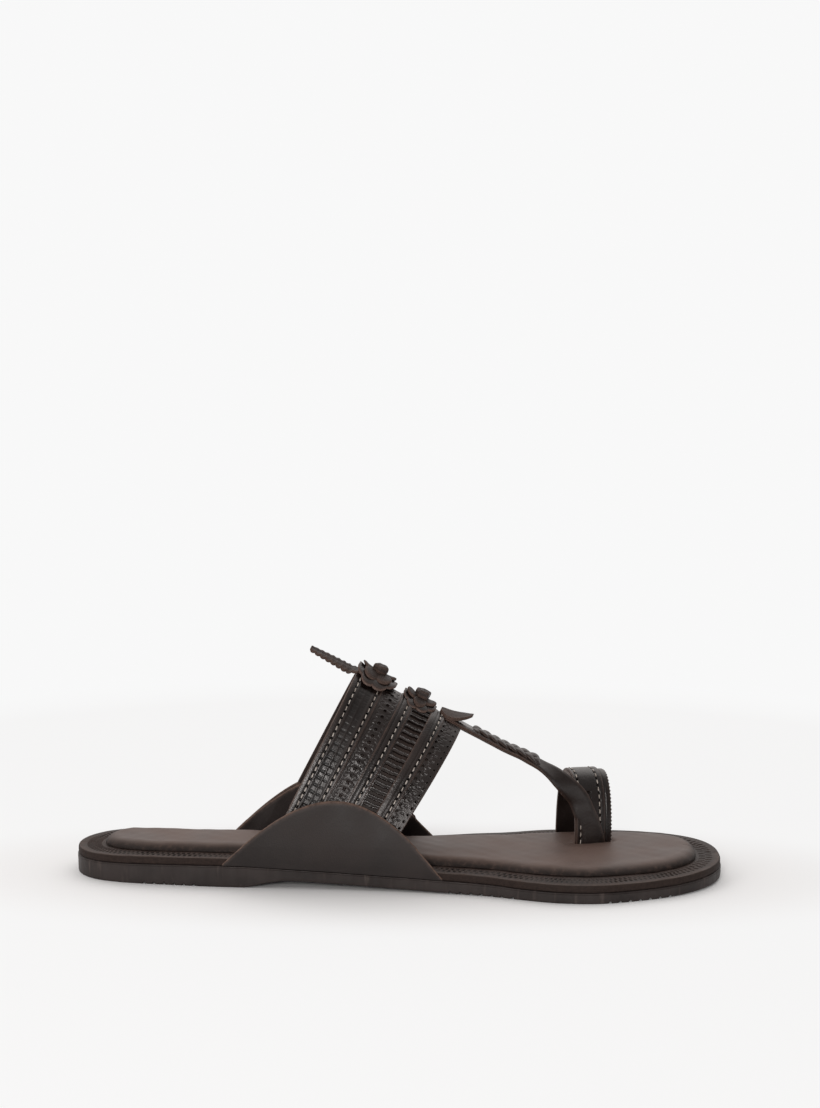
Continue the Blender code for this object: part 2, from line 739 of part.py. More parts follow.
def lobed_edge(diameter, lobes, depth, steps=5):
    """Radius around a plate whose edge has round lobes, with notches of a given depth."""
    turn = np.linspace(0, 2 * math.pi, lobes * steps, endpoint=False)
    return diameter / 2 - depth * (1 - np.abs(np.sin(turn * lobes / 2)))


def tail_rows():
    """The tail leaf: a tapering strip with teeth along both edges, bent over the crest at its root.

    Away from its root it is bent less, and it droops."""
    steps = TAIL_TEETH * 2
    rows = []
    for k in range(steps + 1):
        share = 1 - k / steps
        half = (TAIL_ROOT_WIDTH + (TAIL_TIP_WIDTH - TAIL_ROOT_WIDTH) * share**TAIL_TAPER) / 2
        free = float(smooth_step((share - TAIL_FREE) / (1 - TAIL_FREE)))
        bent = 1.0 - TAIL_UNBEND * free
        droop = TAIL_DROOP * free
        rows.append((-TAIL_LENGTH * share, half - TOOTH_DEPTH * (k % 2), bent, droop))
    return rows


def leaf_rows(count=10):
    """The front leaf: a pointed oval, widest behind its middle, that rises towards its point."""
    rows = []
    for share in np.linspace(0.02, 0.98, count + 1):
        half = FRONT_LEAF_WIDTH / 2 * math.sin(math.pi * share**0.8) ** 0.75
        half = max(half, LEAF_LEAST_WIDTH / 2)
        place = FRONT_LEAF_LENGTH * (share - 0.5)
        rows.append((place, half, FRONT_LEAF_BEND, FRONT_LEAF_RISE * (LEAF_PIVOT - share)))
    return rows


def knob(name, matrix, collection):
    """A small six-sided leather button."""
    mesh = bpy.data.meshes.new(name)
    work = bmesh.new()
    radius = KNOB_WIDTH / 2 * MM
    bmesh.ops.create_cone(
        work,
        cap_ends=True,
        segments=KNOB_CORNER_COUNT,
        radius1=radius,
        radius2=radius * KNOB_TAPER,
        depth=KNOB_HEIGHT * MM,
    )
    bmesh.ops.translate(work, vec=(0, 0, KNOB_HEIGHT / 2 * MM), verts=work.verts)
    work.to_mesh(mesh)
    work.free()
    made = bpy.data.objects.new(name, mesh)
    collection.objects.link(made)
    made.matrix_world = matrix
    return made


def material(name, colour, roughness, metallic=0.0):
    made = bpy.data.materials.new(name)
    made.use_nodes = True
    shader = made.node_tree.nodes["Principled BSDF"]
    shader.inputs["Base Color"].default_value = (*colour, 1.0)
    shader.inputs["Roughness"].default_value = roughness
    shader.inputs["Metallic"].default_value = metallic
    return made


def finish(made, paint):
    made.data.materials.clear()
    made.data.materials.append(paint)
    made.data.shade_smooth()
    made.data.set_sharp_from_angle(angle=SHARP_ANGLE)
    return made


def boolean(made, other, operation):
    modifier = made.modifiers.new(other.name, "BOOLEAN")
    modifier.operation = operation
    modifier.object = other
    modifier.solver = "EXACT"
    return modifier


def make_outsole(parts, cutters):
    """The rubber outsole with its low heel, and grooves across the heel, the waist and the tread."""
    chamfer = EDGE_CHAMFER
    sole = stacked_layer(
        "outsole",
        (
            (chamfer, outsole_underside),
            (0.0, lambda x: outsole_underside(x) + chamfer),
            (0.0, lambda x: outsole_top(x) - chamfer),
            (chamfer, outsole_top),
        ),
        parts,
    )
    work = bmesh.new()
    for along, count in GROOVE_ROWS:
        for k in range(count):
            x = x_of(along) + k * GROOVE_PITCH
            low = outsole_underside(np.array([x]))[0]
            size = Matrix.Diagonal((GROOVE_WIDTH * MM, 2 * BALL_WIDTH * MM, 2 * GROOVE_DEPTH * MM, 1))
            bmesh.ops.create_cube(work, size=1.0, matrix=Matrix.Translation((x * MM, 0, low * MM)) @ size)
    mesh = bpy.data.meshes.new("tread_grooves")
    work.to_mesh(mesh)
    work.free()
    grooves = bpy.data.objects.new("tread_grooves", mesh)
    cutters.objects.link(grooves)
    boolean(sole, grooves, "DIFFERENCE")
    return sole


def make_board(parts):
    inset, chamfer = BOARD_INSET, EDGE_CHAMFER
    return stacked_layer(
        "insole_board",
        (
            (inset, board_underside),
            (inset, lambda x: board_top(x) - chamfer),
            (inset + chamfer, board_top),
        ),
        parts,
    )


def make_pad(parts):
    """The padded sock: round shoulders and a nearly flat top."""
    levels = [(PAD_MARGIN, pad_underside)]
    for share in PAD_LEVELS:
        rise = PAD_HEIGHT * (PAD_SIDE + (1 - PAD_SIDE) * math.sin(share * math.pi / 2))
        inset = PAD_MARGIN + PAD_SHOULDER * share**PAD_ROUNDNESS
        levels.append((inset, lambda x, rise=rise: pad_underside(x) + rise))
    return stacked_layer("insole_pad", levels, parts, pad_margin)


def make_rosette(where, parts, leather, edge_leather):
    """A scalloped plate, a ring of curled petals on it, and the knob that the petals surround."""
    share = ROSETTES_ALONG[where]
    plate_edge = lobed_edge(PLATE_DIAMETER[where], PLATE_LOBES, PLATE_NOTCH)
    petal_edge = lobed_edge(PETAL_DIAMETER[where], PETAL_LOBES, PETAL_NOTCH)
    lift = CLEARANCE + FACET_ROOM
    if where == "rear":
        lift += TAIL_THICKNESS + CLEARANCE
    plate = draped_disc(
        f"rosette_{where}_plate", plate_edge, 0.0, PLATE_THICKNESS, 0.0, share, lift, parts
    )
    lift += PLATE_THICKNESS + CLEARANCE
    hole = KNOB_WIDTH / 2 + CLEARANCE
    petals = draped_disc(
        f"rosette_{where}_petals", petal_edge, hole, PETAL_THICKNESS, PETAL_CURL, share, lift, parts
    )
    button = knob(f"rosette_{where}_knob", crest_frame(share, lift), parts)
    for made, paint in ((plate, leather), (petals, leather), (button, edge_leather)):
        finish(made, paint)


def main():
    for old in list(bpy.data.objects):
        bpy.data.objects.remove(old)
    parts = bpy.data.collections.new("leather_sandal")
    cutters = bpy.data.collections.new("cutters")
    for collection in (parts, cutters):
        bpy.context.scene.collection.children.link(collection)

    black_leather = material("black_leather", (0.035, 0.028, 0.026), 0.5)
    sock_leather = material("sock_leather", (0.085, 0.062, 0.055), 0.55)
    board_leather = material("board_leather", (0.075, 0.055, 0.048), 0.6)
    edge_leather = material("edge_leather", (0.055, 0.038, 0.032), 0.65)
    rubber = material("rubber", (0.045, 0.036, 0.034), 0.6)

    outsole = finish(make_outsole(parts, cutters), rubber)
    board = finish(make_board(parts), board_leather)
    pad = finish(make_pad(parts), sock_leather)

    band = make_band("upper", parts)
    ring = make_ring("toe_ring_form", cutters)
    strap = make_strap("toe_strap_form", cutters)
    boolean(band, strap, "UNION")
    boolean(band, ring, "UNION")
    finish(band, black_leather)

    ring_room = make_ring("toe_ring_room", cutters, grow=CLEARANCE)
    strap_room = make_strap("toe_strap_room", cutters, grow=CLEARANCE)
    for layer in (board, pad):
        boolean(layer, ring_room, "DIFFERENCE")
        boolean(layer, strap_room, "DIFFERENCE")

    band_room = make_band("band_room", cutters, grow=CLEARANCE)
    for side in ("lateral", "medial"):
        flap = make_flap(side, f"side_flap_{side}", parts)
        boolean(flap, band_room, "DIFFERENCE")
        finish(flap, black_leather)
        flap_room = make_flap(side, f"flap_room_{side}", cutters, grow=CLEARANCE)
        boolean(board, flap_room, "DIFFERENCE")

    tail = draped_leaf("tail_leaf", tail_rows(), TAIL_THICKNESS, ROSETTES_ALONG["rear"], CLEARANCE, parts)
    finish(tail, edge_leather)
    for where in ("rear", "front"):
        make_rosette(where, parts, black_leather, edge_leather)
    seat = CLEARANCE + STRAP_THICKNESS / 2
    leaf = draped_leaf("front_leaf", leaf_rows(), FRONT_LEAF_THICKNESS, LEAF_ALONG, seat, parts)
    finish(leaf, edge_leather)

    for helper in cutters.objects:
        helper.hide_render = True
        helper.display_type = "WIRE"


main()
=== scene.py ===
import math

import bmesh
import bpy
import numpy as np
from mathutils import Matrix, Vector


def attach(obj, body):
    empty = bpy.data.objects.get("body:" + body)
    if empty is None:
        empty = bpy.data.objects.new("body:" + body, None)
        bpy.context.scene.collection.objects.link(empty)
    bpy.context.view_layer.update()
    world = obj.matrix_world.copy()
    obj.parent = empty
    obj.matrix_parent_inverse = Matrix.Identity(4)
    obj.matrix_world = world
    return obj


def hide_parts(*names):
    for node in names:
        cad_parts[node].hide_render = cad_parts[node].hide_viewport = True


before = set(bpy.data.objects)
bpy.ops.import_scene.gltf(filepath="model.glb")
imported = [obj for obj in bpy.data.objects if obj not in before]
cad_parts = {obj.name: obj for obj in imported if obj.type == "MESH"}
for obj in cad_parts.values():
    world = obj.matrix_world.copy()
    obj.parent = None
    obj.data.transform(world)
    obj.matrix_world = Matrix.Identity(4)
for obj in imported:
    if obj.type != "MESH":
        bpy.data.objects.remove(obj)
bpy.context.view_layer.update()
print("frame loaded with", len(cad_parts), "solids")

mm = 0.001              # every shape below is worked out in millimetres
lateral, medial = -1, 1  # the little-toe side faces the camera, the big-toe side is behind


# small helpers

def smoothTable(rows, column):
    # a cubic between the rows of a table; its slope at a row is the harmonic mean of both sides,
    # or nothing where they differ in sign, so that the curve never swings past a row
    xs = np.array([row[0] for row in rows], float)
    ys = np.array([row[column] for row in rows], float)
    steps = np.diff(ys) / np.diff(xs)
    slopes = np.zeros(len(xs))
    same = steps[:-1] * steps[1:] > 0
    slopes[1:-1][same] = 2 / (1 / steps[:-1][same] + 1 / steps[1:][same])

    def value(x):
        x = np.clip(x, xs[0], xs[-1])
        i = np.clip(np.searchsorted(xs, x, side="right") - 1, 0, len(xs) - 2)
        gap = xs[i + 1] - xs[i]
        t = (x - xs[i]) / gap
        return (ys[i] * (1 + 2 * t) * (1 - t) ** 2 + ys[i + 1] * t * t * (3 - 2 * t)
                + gap * t * (1 - t) * (slopes[i] * (1 - t) - slopes[i + 1] * t))

    return value


def smoothStep(t):
    # three t squared less two t cubed, held between 0 and 1
    t = np.clip(t, 0.0, 1.0)
    return t * t * (3 - 2 * t)


def unit(vectors):
    return vectors / np.linalg.norm(vectors, axis=-1, keepdims=True)


def sweepFaces(rows, count, caps=True):
    # four-cornered faces between neighbouring closed rings; each end is closed by one face
    row = np.arange(rows - 1)[:, None] * count
    here = np.arange(count)
    there = (here + 1) % count
    quads = np.stack([row + here, row + there, row + count + there, row + count + here], -1)
    faces = quads.reshape(-1, 4).tolist()
    if caps:
        faces.append(list(range(count))[::-1])
        faces.append(list(range((rows - 1) * count, rows * count)))
    return faces


def makePiece(name, points, faces, paintName, nodes, marks=None, sharpAngle=42):
    mesh = bpy.data.meshes.new(name)
    mesh.from_pydata((np.asarray(points).reshape(-1, 3) * mm).tolist(), [], faces)
    for key, values in (marks or {}).items():
        layer = mesh.attributes.new(key, "FLOAT", "POINT")
        layer.data.foreach_set("value", np.ascontiguousarray(values, np.float32).ravel())
    work = bmesh.new()
    work.from_mesh(mesh)
    bmesh.ops.recalc_face_normals(work, faces=work.faces)
    work.to_mesh(mesh)
    work.free()
    mesh.shade_smooth()
    mesh.set_sharp_from_angle(angle=math.radians(sharpAngle))
    mesh.materials.append(paints[paintName])
    piece = bpy.data.objects.new(name, mesh)
    bpy.context.scene.collection.objects.link(piece)
    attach(piece, "root")
    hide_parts(*nodes)
    return piece


def makeSweep(name, points, paintName, nodes, marks=None, sharpAngle=42):
    # each row of the points is a closed ring; each mark is spread over all of them
    size = points.shape[:2]
    marks = {key: np.broadcast_to(values, size) for key, values in (marks or {}).items()}
    return makePiece(name, points, sweepFaces(*size), paintName, nodes, marks, sharpAngle)


def bothFaces(outer, inner=None):
    # a sheet's outer face, then its inner face; without an inner one the outer is read backwards
    return np.concatenate([outer, outer[:, ::-1] if inner is None else inner], axis=1)


def interpRows(place, places, table):
    return np.column_stack([np.interp(place, places, table[:, k]) for k in range(table.shape[1])])


def runLength(line):
    # the way along a line to each of its points
    return np.concatenate([[0], np.cumsum(np.linalg.norm(np.diff(line, axis=0), axis=1))])


def waves(*places, seed=0, size=20.0, terms=9):
    # a calm uneven surface: the mean of a few sines in random, seeded directions
    rng = np.random.default_rng(seed)
    total = 0.0
    for k in range(terms):
        turn = rng.normal(size=len(places))
        turn *= 2 * math.pi / size * rng.uniform(0.6, 1.6) / np.linalg.norm(turn)
        total = total + np.sin(sum(t * p for t, p in zip(turn, places)) + rng.uniform(0, 6.3))
    return total / math.sqrt(terms)


# materials: object coordinates in metres, and the marks that the meshes carry

def newPaint(name):
    paint = bpy.data.materials.new(name)
    paint.use_nodes = True
    return paint, paint.node_tree, paint.node_tree.nodes["Principled BSDF"].inputs


def feed(tree, socket, value):
    # a socket takes another node's output, or else a number, a vector or a colour
    if isinstance(value, bpy.types.NodeSocket):
        tree.links.new(value, socket)
    else:
        socket.default_value = (*value, 1.0) if socket.type == "RGBA" else value


def addNode(tree, kind, inputs=None, **settings):
    node = tree.nodes.new("ShaderNode" + kind)
    for key, value in settings.items():
        setattr(node, key, value)
    for key, value in (inputs or {}).items():
        feed(tree, node.inputs[key], value)
    return node.outputs


def addPlace(tree):
    return addNode(tree, "TexCoord")["Object"]


def addMark(tree, name):
    return addNode(tree, "Attribute", attribute_name=name)["Fac"]


def addNoise(tree, place, scale, detail=3.0, stretch=None):
    if stretch:
        place = addNode(tree, "Mapping", {"Vector": place, "Scale": stretch})["Vector"]
    return addNode(tree, "TexNoise", {"Vector": place, "Scale": scale, "Detail": detail})["Fac"]


def addMath(tree, operation, *values):
    return addNode(tree, "Math", dict(enumerate(values)), operation=operation)["Value"]


def addLength(tree, vector):
    return addNode(tree, "VectorMath", {0: vector}, operation="LENGTH")["Value"]


def addMix(tree, share, first, second):
    # sockets 0, 6 and 7 are a colour mix's factor and colours, and output 2 is its result
    return addNode(tree, "Mix", {0: share, 6: first, 7: second}, data_type="RGBA")[2]


def addRange(tree, value, low, high, toLow, toHigh):
    ends = {"From Min": low, "From Max": high, "To Min": toLow, "To Max": toHigh}
    return addNode(tree, "MapRange", {"Value": value, **ends}, interpolation_type="SMOOTHSTEP")["Result"]


def addBump(tree, height, strength, distance):
    return addNode(tree, "Bump", {"Height": height, "Strength": strength, "Distance": distance})["Normal"]


grain = {                        # noise scales per metre, shares of the relief, and its height in metres
    "fine": 420.0, "fibres": 900.0, "pores": 2600.0, "creases": 240.0, "creaseStretch": (1.0, 2.2, 1.6),
    "cellShare": -0.8, "poreShare": 0.5, "creaseShare": 0.9, "height": 0.00025,
}


def leatherPaint(name, look):
    # mottled dye, a pebbled grain of small cells, fine pores and creases, paler and rougher cut edges (on the sock
    # pad the edge mix is much darker and is painted shade down its rounded shoulder), and painted shade in the
    # bottoms of deep pressed marks
    paint, tree, shader = newPaint(name)
    place = addPlace(tree)
    mottle = addNoise(tree, place, look["mottleScale"], 5.0)
    fine = addNoise(tree, place, grain["fine"], 4.0)
    fibre = addNoise(tree, place, grain["fibres"], 2.0)
    edgeAndShadeMask = addMark(tree, "cutEdgeAndShade")
    dye = addMix(tree, addRange(tree, mottle, 0.32, 0.68, 0.0, 1.0), look["dark"], look["light"])
    worn = addMath(tree, "MULTIPLY", addMark(tree, "rub"), addRange(tree, fine, 0.35, 0.62, 0.35, 1.0))
    dye = addMix(tree, worn, dye, look["rubbed"])
    # the edge colour mix; on the sock pad its dark colours are painted shade over the rounded shoulder
    edge = addMix(tree, fibre, look["edgeAndShadeDark"], look["edgeAndShadeLight"])
    edgeAndShadeShare = addMath(tree, "MULTIPLY", edgeAndShadeMask, addRange(tree, fine, 0.25, 0.55, 0.55, 1.0))
    surface = addMix(tree, edgeAndShadeShare, dye, edge)
    # painted shade: the pit mark darkens the bottoms of deep holes, slots and strokes
    feed(tree, shader["Base Color"], addMix(tree, addMark(tree, "paintedPitShade"), surface, look["paintedPitShade"]))
    shine = addRange(tree, mottle, 0.3, 0.7, look["rough"] - 0.05, look["rough"] + 0.07)
    feed(tree, shader["Roughness"], addMath(tree, "MULTIPLY_ADD", edgeAndShadeMask, 0.22, shine))
    feed(tree, shader["Specular IOR Level"], look["specular"])
    cells = addNode(tree, "TexVoronoi", {"Vector": place, "Scale": look["grainScale"]}, feature="SMOOTH_F1")
    pores = addNoise(tree, place, grain["pores"], 2.0)
    creases = addNoise(tree, place, grain["creases"], 6.0, grain["creaseStretch"])
    relief = addMath(tree, "MULTIPLY", cells["Distance"], grain["cellShare"])
    relief = addMath(tree, "MULTIPLY_ADD", pores, grain["poreShare"], relief)
    relief = addMath(tree, "MULTIPLY_ADD", creases, grain["creaseShare"], relief)
    feed(tree, shader["Normal"], addBump(tree, relief, look["grain"], grain["height"]))
    return paint


def threadPaint(name, colour, shadow):
    # waxed thread: fine twist stripes along each stitch, and slightly soiled spots
    paint, tree, shader = newPaint(name)
    place = addPlace(tree)
    soil = addRange(tree, addNoise(tree, place, 300.0, 2.0), 0.38, 0.66, 0.0, 1.0)
    feed(tree, shader["Base Color"], addMix(tree, soil, colour, shadow))
    feed(tree, shader["Roughness"], 0.62)
    stripes = {"Vector": place, "Scale": 950.0, "Distortion": 1.5}
    twist = addNode(tree, "TexWave", stripes, bands_direction="DIAGONAL")["Fac"]
    feed(tree, shader["Normal"], addBump(tree, twist, 0.5, 0.0001))
    return paint


def rubberPaint(name, dark, light, dust):
    # moulded rubber: faint upright scuffs on the side, a little dust and a soft sheen
    paint, tree, shader = newPaint(name)
    place = addPlace(tree)
    mottle = addNoise(tree, place, 70.0, 5.0)
    scuff = addNoise(tree, place, 260.0, 4.0, (1.0, 1.0, 0.12))
    base = addMix(tree, addRange(tree, mottle, 0.3, 0.7, 0.0, 1.0), dark, light)
    feed(tree, shader["Base Color"], addMix(tree, addRange(tree, scuff, 0.58, 0.8, 0.0, 0.55), base, dust))
    feed(tree, shader["Roughness"], addRange(tree, scuff, 0.3, 0.7, 0.5, 0.68))
    feed(tree, shader["Specular IOR Level"], 0.4)
    feed(tree, shader["Normal"], addBump(tree, scuff, 0.35, 0.0002))
    return paint


blackPaintedShade, brownPaintedShade = (0.0012, 0.0008, 0.0007), (0.0060, 0.0038, 0.0031)      # painted shade for the bottoms of pressed marks
leatherLooks = {
    "bandLeather": {
        "dark": (0.0075, 0.0045, 0.0038), "light": (0.0165, 0.0102, 0.0086), "rubbed": (0.070, 0.046, 0.038),
        "edgeAndShadeDark": (0.040, 0.021, 0.015), "edgeAndShadeLight": (0.120, 0.070, 0.052), "paintedPitShade": blackPaintedShade,
        "rough": 0.31, "specular": 0.50, "mottleScale": 60.0, "grainScale": 1500.0, "grain": 0.30,
    },
    "flapLeather": {
        "dark": (0.0125, 0.0083, 0.0074), "light": (0.023, 0.0162, 0.0145), "rubbed": (0.080, 0.056, 0.048),
        "edgeAndShadeDark": (0.060, 0.036, 0.028), "edgeAndShadeLight": (0.185, 0.118, 0.090), "paintedPitShade": blackPaintedShade,
        "rough": 0.50, "specular": 0.30, "mottleScale": 45.0, "grainScale": 1700.0, "grain": 0.22,
    },
    "boardLeather": {
        "dark": (0.023, 0.0145, 0.0118), "light": (0.045, 0.0290, 0.0238), "rubbed": (0.095, 0.062, 0.050),
        "edgeAndShadeDark": (0.012, 0.008, 0.007), "edgeAndShadeLight": (0.042, 0.027, 0.022), "paintedPitShade": brownPaintedShade,
        "rough": 0.58, "specular": 0.22, "mottleScale": 55.0, "grainScale": 1300.0, "grain": 0.25,
    },
    # the sock pad's edge colours, far darker than its dye, are painted shade on its wall and rounded shoulder
    "sockLeather": {
        "dark": (0.067, 0.0410, 0.0318), "light": (0.108, 0.0690, 0.0550), "rubbed": (0.14, 0.100, 0.085),
        "edgeAndShadeDark": (0.010, 0.0065, 0.0055), "edgeAndShadeLight": (0.026, 0.017, 0.014), "paintedPitShade": brownPaintedShade,
        "rough": 0.50, "specular": 0.34, "mottleScale": 38.0, "grainScale": 1900.0, "grain": 0.16,
    },
    "leafLeather": {
        "dark": (0.014, 0.0082, 0.0064), "light": (0.036, 0.0220, 0.0175), "rubbed": (0.120, 0.078, 0.062),
        "edgeAndShadeDark": (0.030, 0.018, 0.014), "edgeAndShadeLight": (0.110, 0.068, 0.052),
        "paintedPitShade": (0.0025, 0.0015, 0.0012), "rough": 0.55, "specular": 0.3, "mottleScale": 120.0, "grainScale": 1400.0, "grain": 0.35,
    },
}
paints = {name: leatherPaint(name, look) for name, look in leatherLooks.items()}
paints["thread"] = threadPaint("stitchThread", (0.52, 0.47, 0.42), (0.30, 0.26, 0.225))
paints["rubber"] = rubberPaint("soleRubber", (0.0165, 0.0112, 0.0100), (0.032, 0.0230, 0.0210),
                               (0.135, 0.105, 0.094))
print("materials ready:", len(paints))


# the sole's outline and side profile

sole = {
    "length": 286.5, "ballWidth": 96.5, "thickness": 4.7, "heelLift": 4.3, "toeSpring": 1.2,
    "board": 3.0, "boardInset": 0.4, "padHeight": 3.7, "padMargin": 14.0, "padShoulder": 7.0, "room": 0.3,
    "ends": (-143.03, 143.1), "heelRound": 0.095, "toeRound": 0.265, "heelPower": 2.1, "toePower": 2.4,
    "grooveWidth": 1.2, "grooveDepth": 1.0, "groovePitch": 4.4, "grooveEnd": 0.45,
    "grooves": ((0.115, 6), (0.580, 7), (0.815, 7)),      # start as a share of the length, and number
    "edge": (                                             # inset, share of the height, and lift
        (0.55, 0, 0.0), (0.22, 0, 0.12), (0.05, 0, 0.36), (0.0, 0, 0.75),
        (0.0, 0.3, 0.0), (0.0, 0.45, 0.0), (0.0, 0.6, 0.0), (0.0, 0.75, 0.0),
        # a shallow line under the top edge, where the sole was trimmed after gluing
        (0.0, 1, -0.85), (0.18, 1, -0.66), (0.04, 1, -0.46), (0.12, 1, -0.2), (0.5, 1, 0.0),
    ),
    "outline": (                                          # along, middle, half width, pad margin
        (0.000, 0.093, 0.520, 0.90), (0.060, 0.096, 0.520, 0.80), (0.119, 0.050, 0.520, 0.70),
        (0.235, -0.034, 0.520, 0.70), (0.351, -0.068, 0.540, 0.70), (0.509, -0.060, 0.610, 0.75),
        (0.554, -0.040, 0.665, 0.80), (0.639, 0.000, 0.790, 0.90), (0.747, 0.000, 0.982, 1.00),
        (0.790, 0.000, 1.000, 1.00), (0.881, 0.060, 1.000, 0.90), (1.000, 0.095, 1.000, 0.80),
    ),
    "profile": (                                          # along, underside, top, as shares of the heel lift
        (0.000, 0.00, 0.84), (0.120, 0.00, 0.98), (0.235, 0.00, 1.10), (0.262, 0.00, 1.10),
        (0.275, 0.10, 1.09), (0.312, 0.66, 1.02), (0.335, 0.84, 0.96), (0.400, 0.66, 0.75),
        (0.480, 0.38, 0.50), (0.560, 0.16, 0.28), (0.640, 0.02, 0.12), (0.690, 0.00, 0.00),
        (0.860, 0.00, 0.00), (1.000, 0.00, 0.00),
    ),
}
halfBall = sole["ballWidth"] / 2
outlineMiddle = smoothTable(sole["outline"], 1)
outlineHalf = smoothTable(sole["outline"], 2)
padMargin = smoothTable(sole["outline"], 3)
undersideShare = smoothTable(sole["profile"], 1)
topShare = smoothTable(sole["profile"], 2)


def xOf(along):
    return (along - 0.5) * sole["length"]


def alongOf(x):
    return x / sole["length"] + 0.5


def edgePlace(side, along):
    # middle line plus or minus the half width, times a superellipse's quarter at each end
    heel = np.clip(1 - along / sole["heelRound"], 0, 1) ** sole["heelPower"]
    toe = np.clip(1 - (1 - along) / sole["toeRound"], 0, 1) ** sole["toePower"]
    roundEnd = (1 - heel) ** (1 / sole["heelPower"]) * (1 - toe) ** (1 / sole["toePower"])
    return halfBall * (outlineMiddle(along) + side * outlineHalf(along) * roundEnd)


def asideOf(y, along):
    # 0 on the middle line and 1 at the sole's edge
    return (y - halfBall * outlineMiddle(along)) / (halfBall * outlineHalf(along))


def toeRise(x):
    return sole["toeSpring"] * smoothStep((alongOf(x) - 0.86) / 0.14 * 0.5) * 2


def outsoleUnderside(x):
    return sole["heelLift"] * undersideShare(alongOf(x)) + toeRise(x)


def outsoleTop(x):
    return sole["thickness"] + sole["heelLift"] * topShare(alongOf(x)) + toeRise(x)


def boardUnderside(x):
    return outsoleTop(x) + sole["room"]


def boardTop(x):
    return boardUnderside(x) + sole["board"]


def padUnderside(x):
    return boardTop(x) + sole["room"]


def edgeLines(inset, along, margin=None):
    # the two edges of the sole, each point moved inwards along the outline's normal
    lines = []
    for side in (lateral, medial):
        x, y = xOf(along), edgePlace(side, along)
        dx, dy = np.gradient(x), np.gradient(y)
        length = np.hypot(dx, dy)
        turn = -side * (margin(along) if margin else 1.0)
        inwards = np.clip(x - turn * inset * dy / length, *sole["ends"])
        lines.append(np.column_stack([inwards, y + turn * inset * dx / length]))
    return lines


def soleLayer(along, levels, across, margin=None):
    # a ring of points at every station along the sole: up the near side, over the top, down the far
    # side and back underneath; each level is an inset and a height as a function of x, y and along
    near, far = [], []
    for inset, height in levels:
        a, b = edgeLines(inset, along, margin)
        near.append(np.column_stack([a, height(a[:, 0], a[:, 1], along)]))
        far.append(np.column_stack([b, height(b[:, 0], b[:, 1], along)]))
    top = levels[-1][1]
    over = []
    for t in np.linspace(0, 1, across + 2)[1:-1]:
        p = near[-1][:, :2] * (1 - t) + far[-1][:, :2] * t
        over.append(np.column_stack([p, top(p[:, 0], p[:, 1], along)]))
    under = []
    bottom = levels[0][1]
    for t in (0.67, 0.33):
        p = near[0][:, :2] * (1 - t) + far[0][:, :2] * t
        under.append(np.column_stack([p, bottom(p[:, 0], p[:, 1], along)]))
    return np.stack(near + over + far[::-1] + under, axis=1)


def stations(count, extra=()):
    # shares of the length, closer together at the round ends
    along = 0.5 - 0.5 * np.cos(np.linspace(0.0012, math.pi - 0.0012, count))
    return np.unique(np.concatenate([along, np.asarray(extra, float)]))


def bandAway(distance, width, soft):
    # 1 within a mark's half width, falling to 0 over a soft rim
    return 1 - smoothStep((np.abs(distance) - width / 2 + soft / 2) / soft)


def nearest(value, pitch, phase=0.0):
    # distance to the nearest mark of a row with an even pitch
    return (value - phase + pitch / 2) % pitch - pitch / 2


def makeOutsole():
    grooves = [xOf(start) + np.arange(number) * sole["groovePitch"] for start, number in sole["grooves"]]
    grooves = np.concatenate(grooves)
    flanks = np.array([-0.68, -0.56, 0.56, 0.68]) * sole["grooveWidth"] / 1.1
    along = stations(520, alongOf(grooves[:, None] + flanks).ravel())

    def level(share, lift):
        # share 0 is the underside and 1 the top; the grooves raise what is near the floor, and run
        # out towards the middle of the sole
        def height(x, y, a):
            z = outsoleUnderside(x) * (1 - share) + outsoleTop(x) * share + lift
            away = np.min(np.abs(x[:, None] - grooves), axis=1)
            depth = bandAway(away, sole["grooveWidth"], 0.14) * sole["grooveDepth"]
            depth = depth * smoothStep((np.abs(asideOf(y, a)) - sole["grooveEnd"]) / 0.2)
            return np.maximum(z, outsoleUnderside(x) + depth)
        return height

    points = soleLayer(along, [(inset, level(share, lift)) for inset, share, lift in sole["edge"]], 3)
    return makeSweep("outsoleRubber", points, "rubber", ["outsole"])


tooling = {
    "strokePitch": 2.35, "strokeWidth": 0.98, "depth": 0.70,
    "rowInner": 9.6, "rowOuter": 6.2,          # distances from the board's edge, at the widest margin
    "strokeLength": 2.6,
}


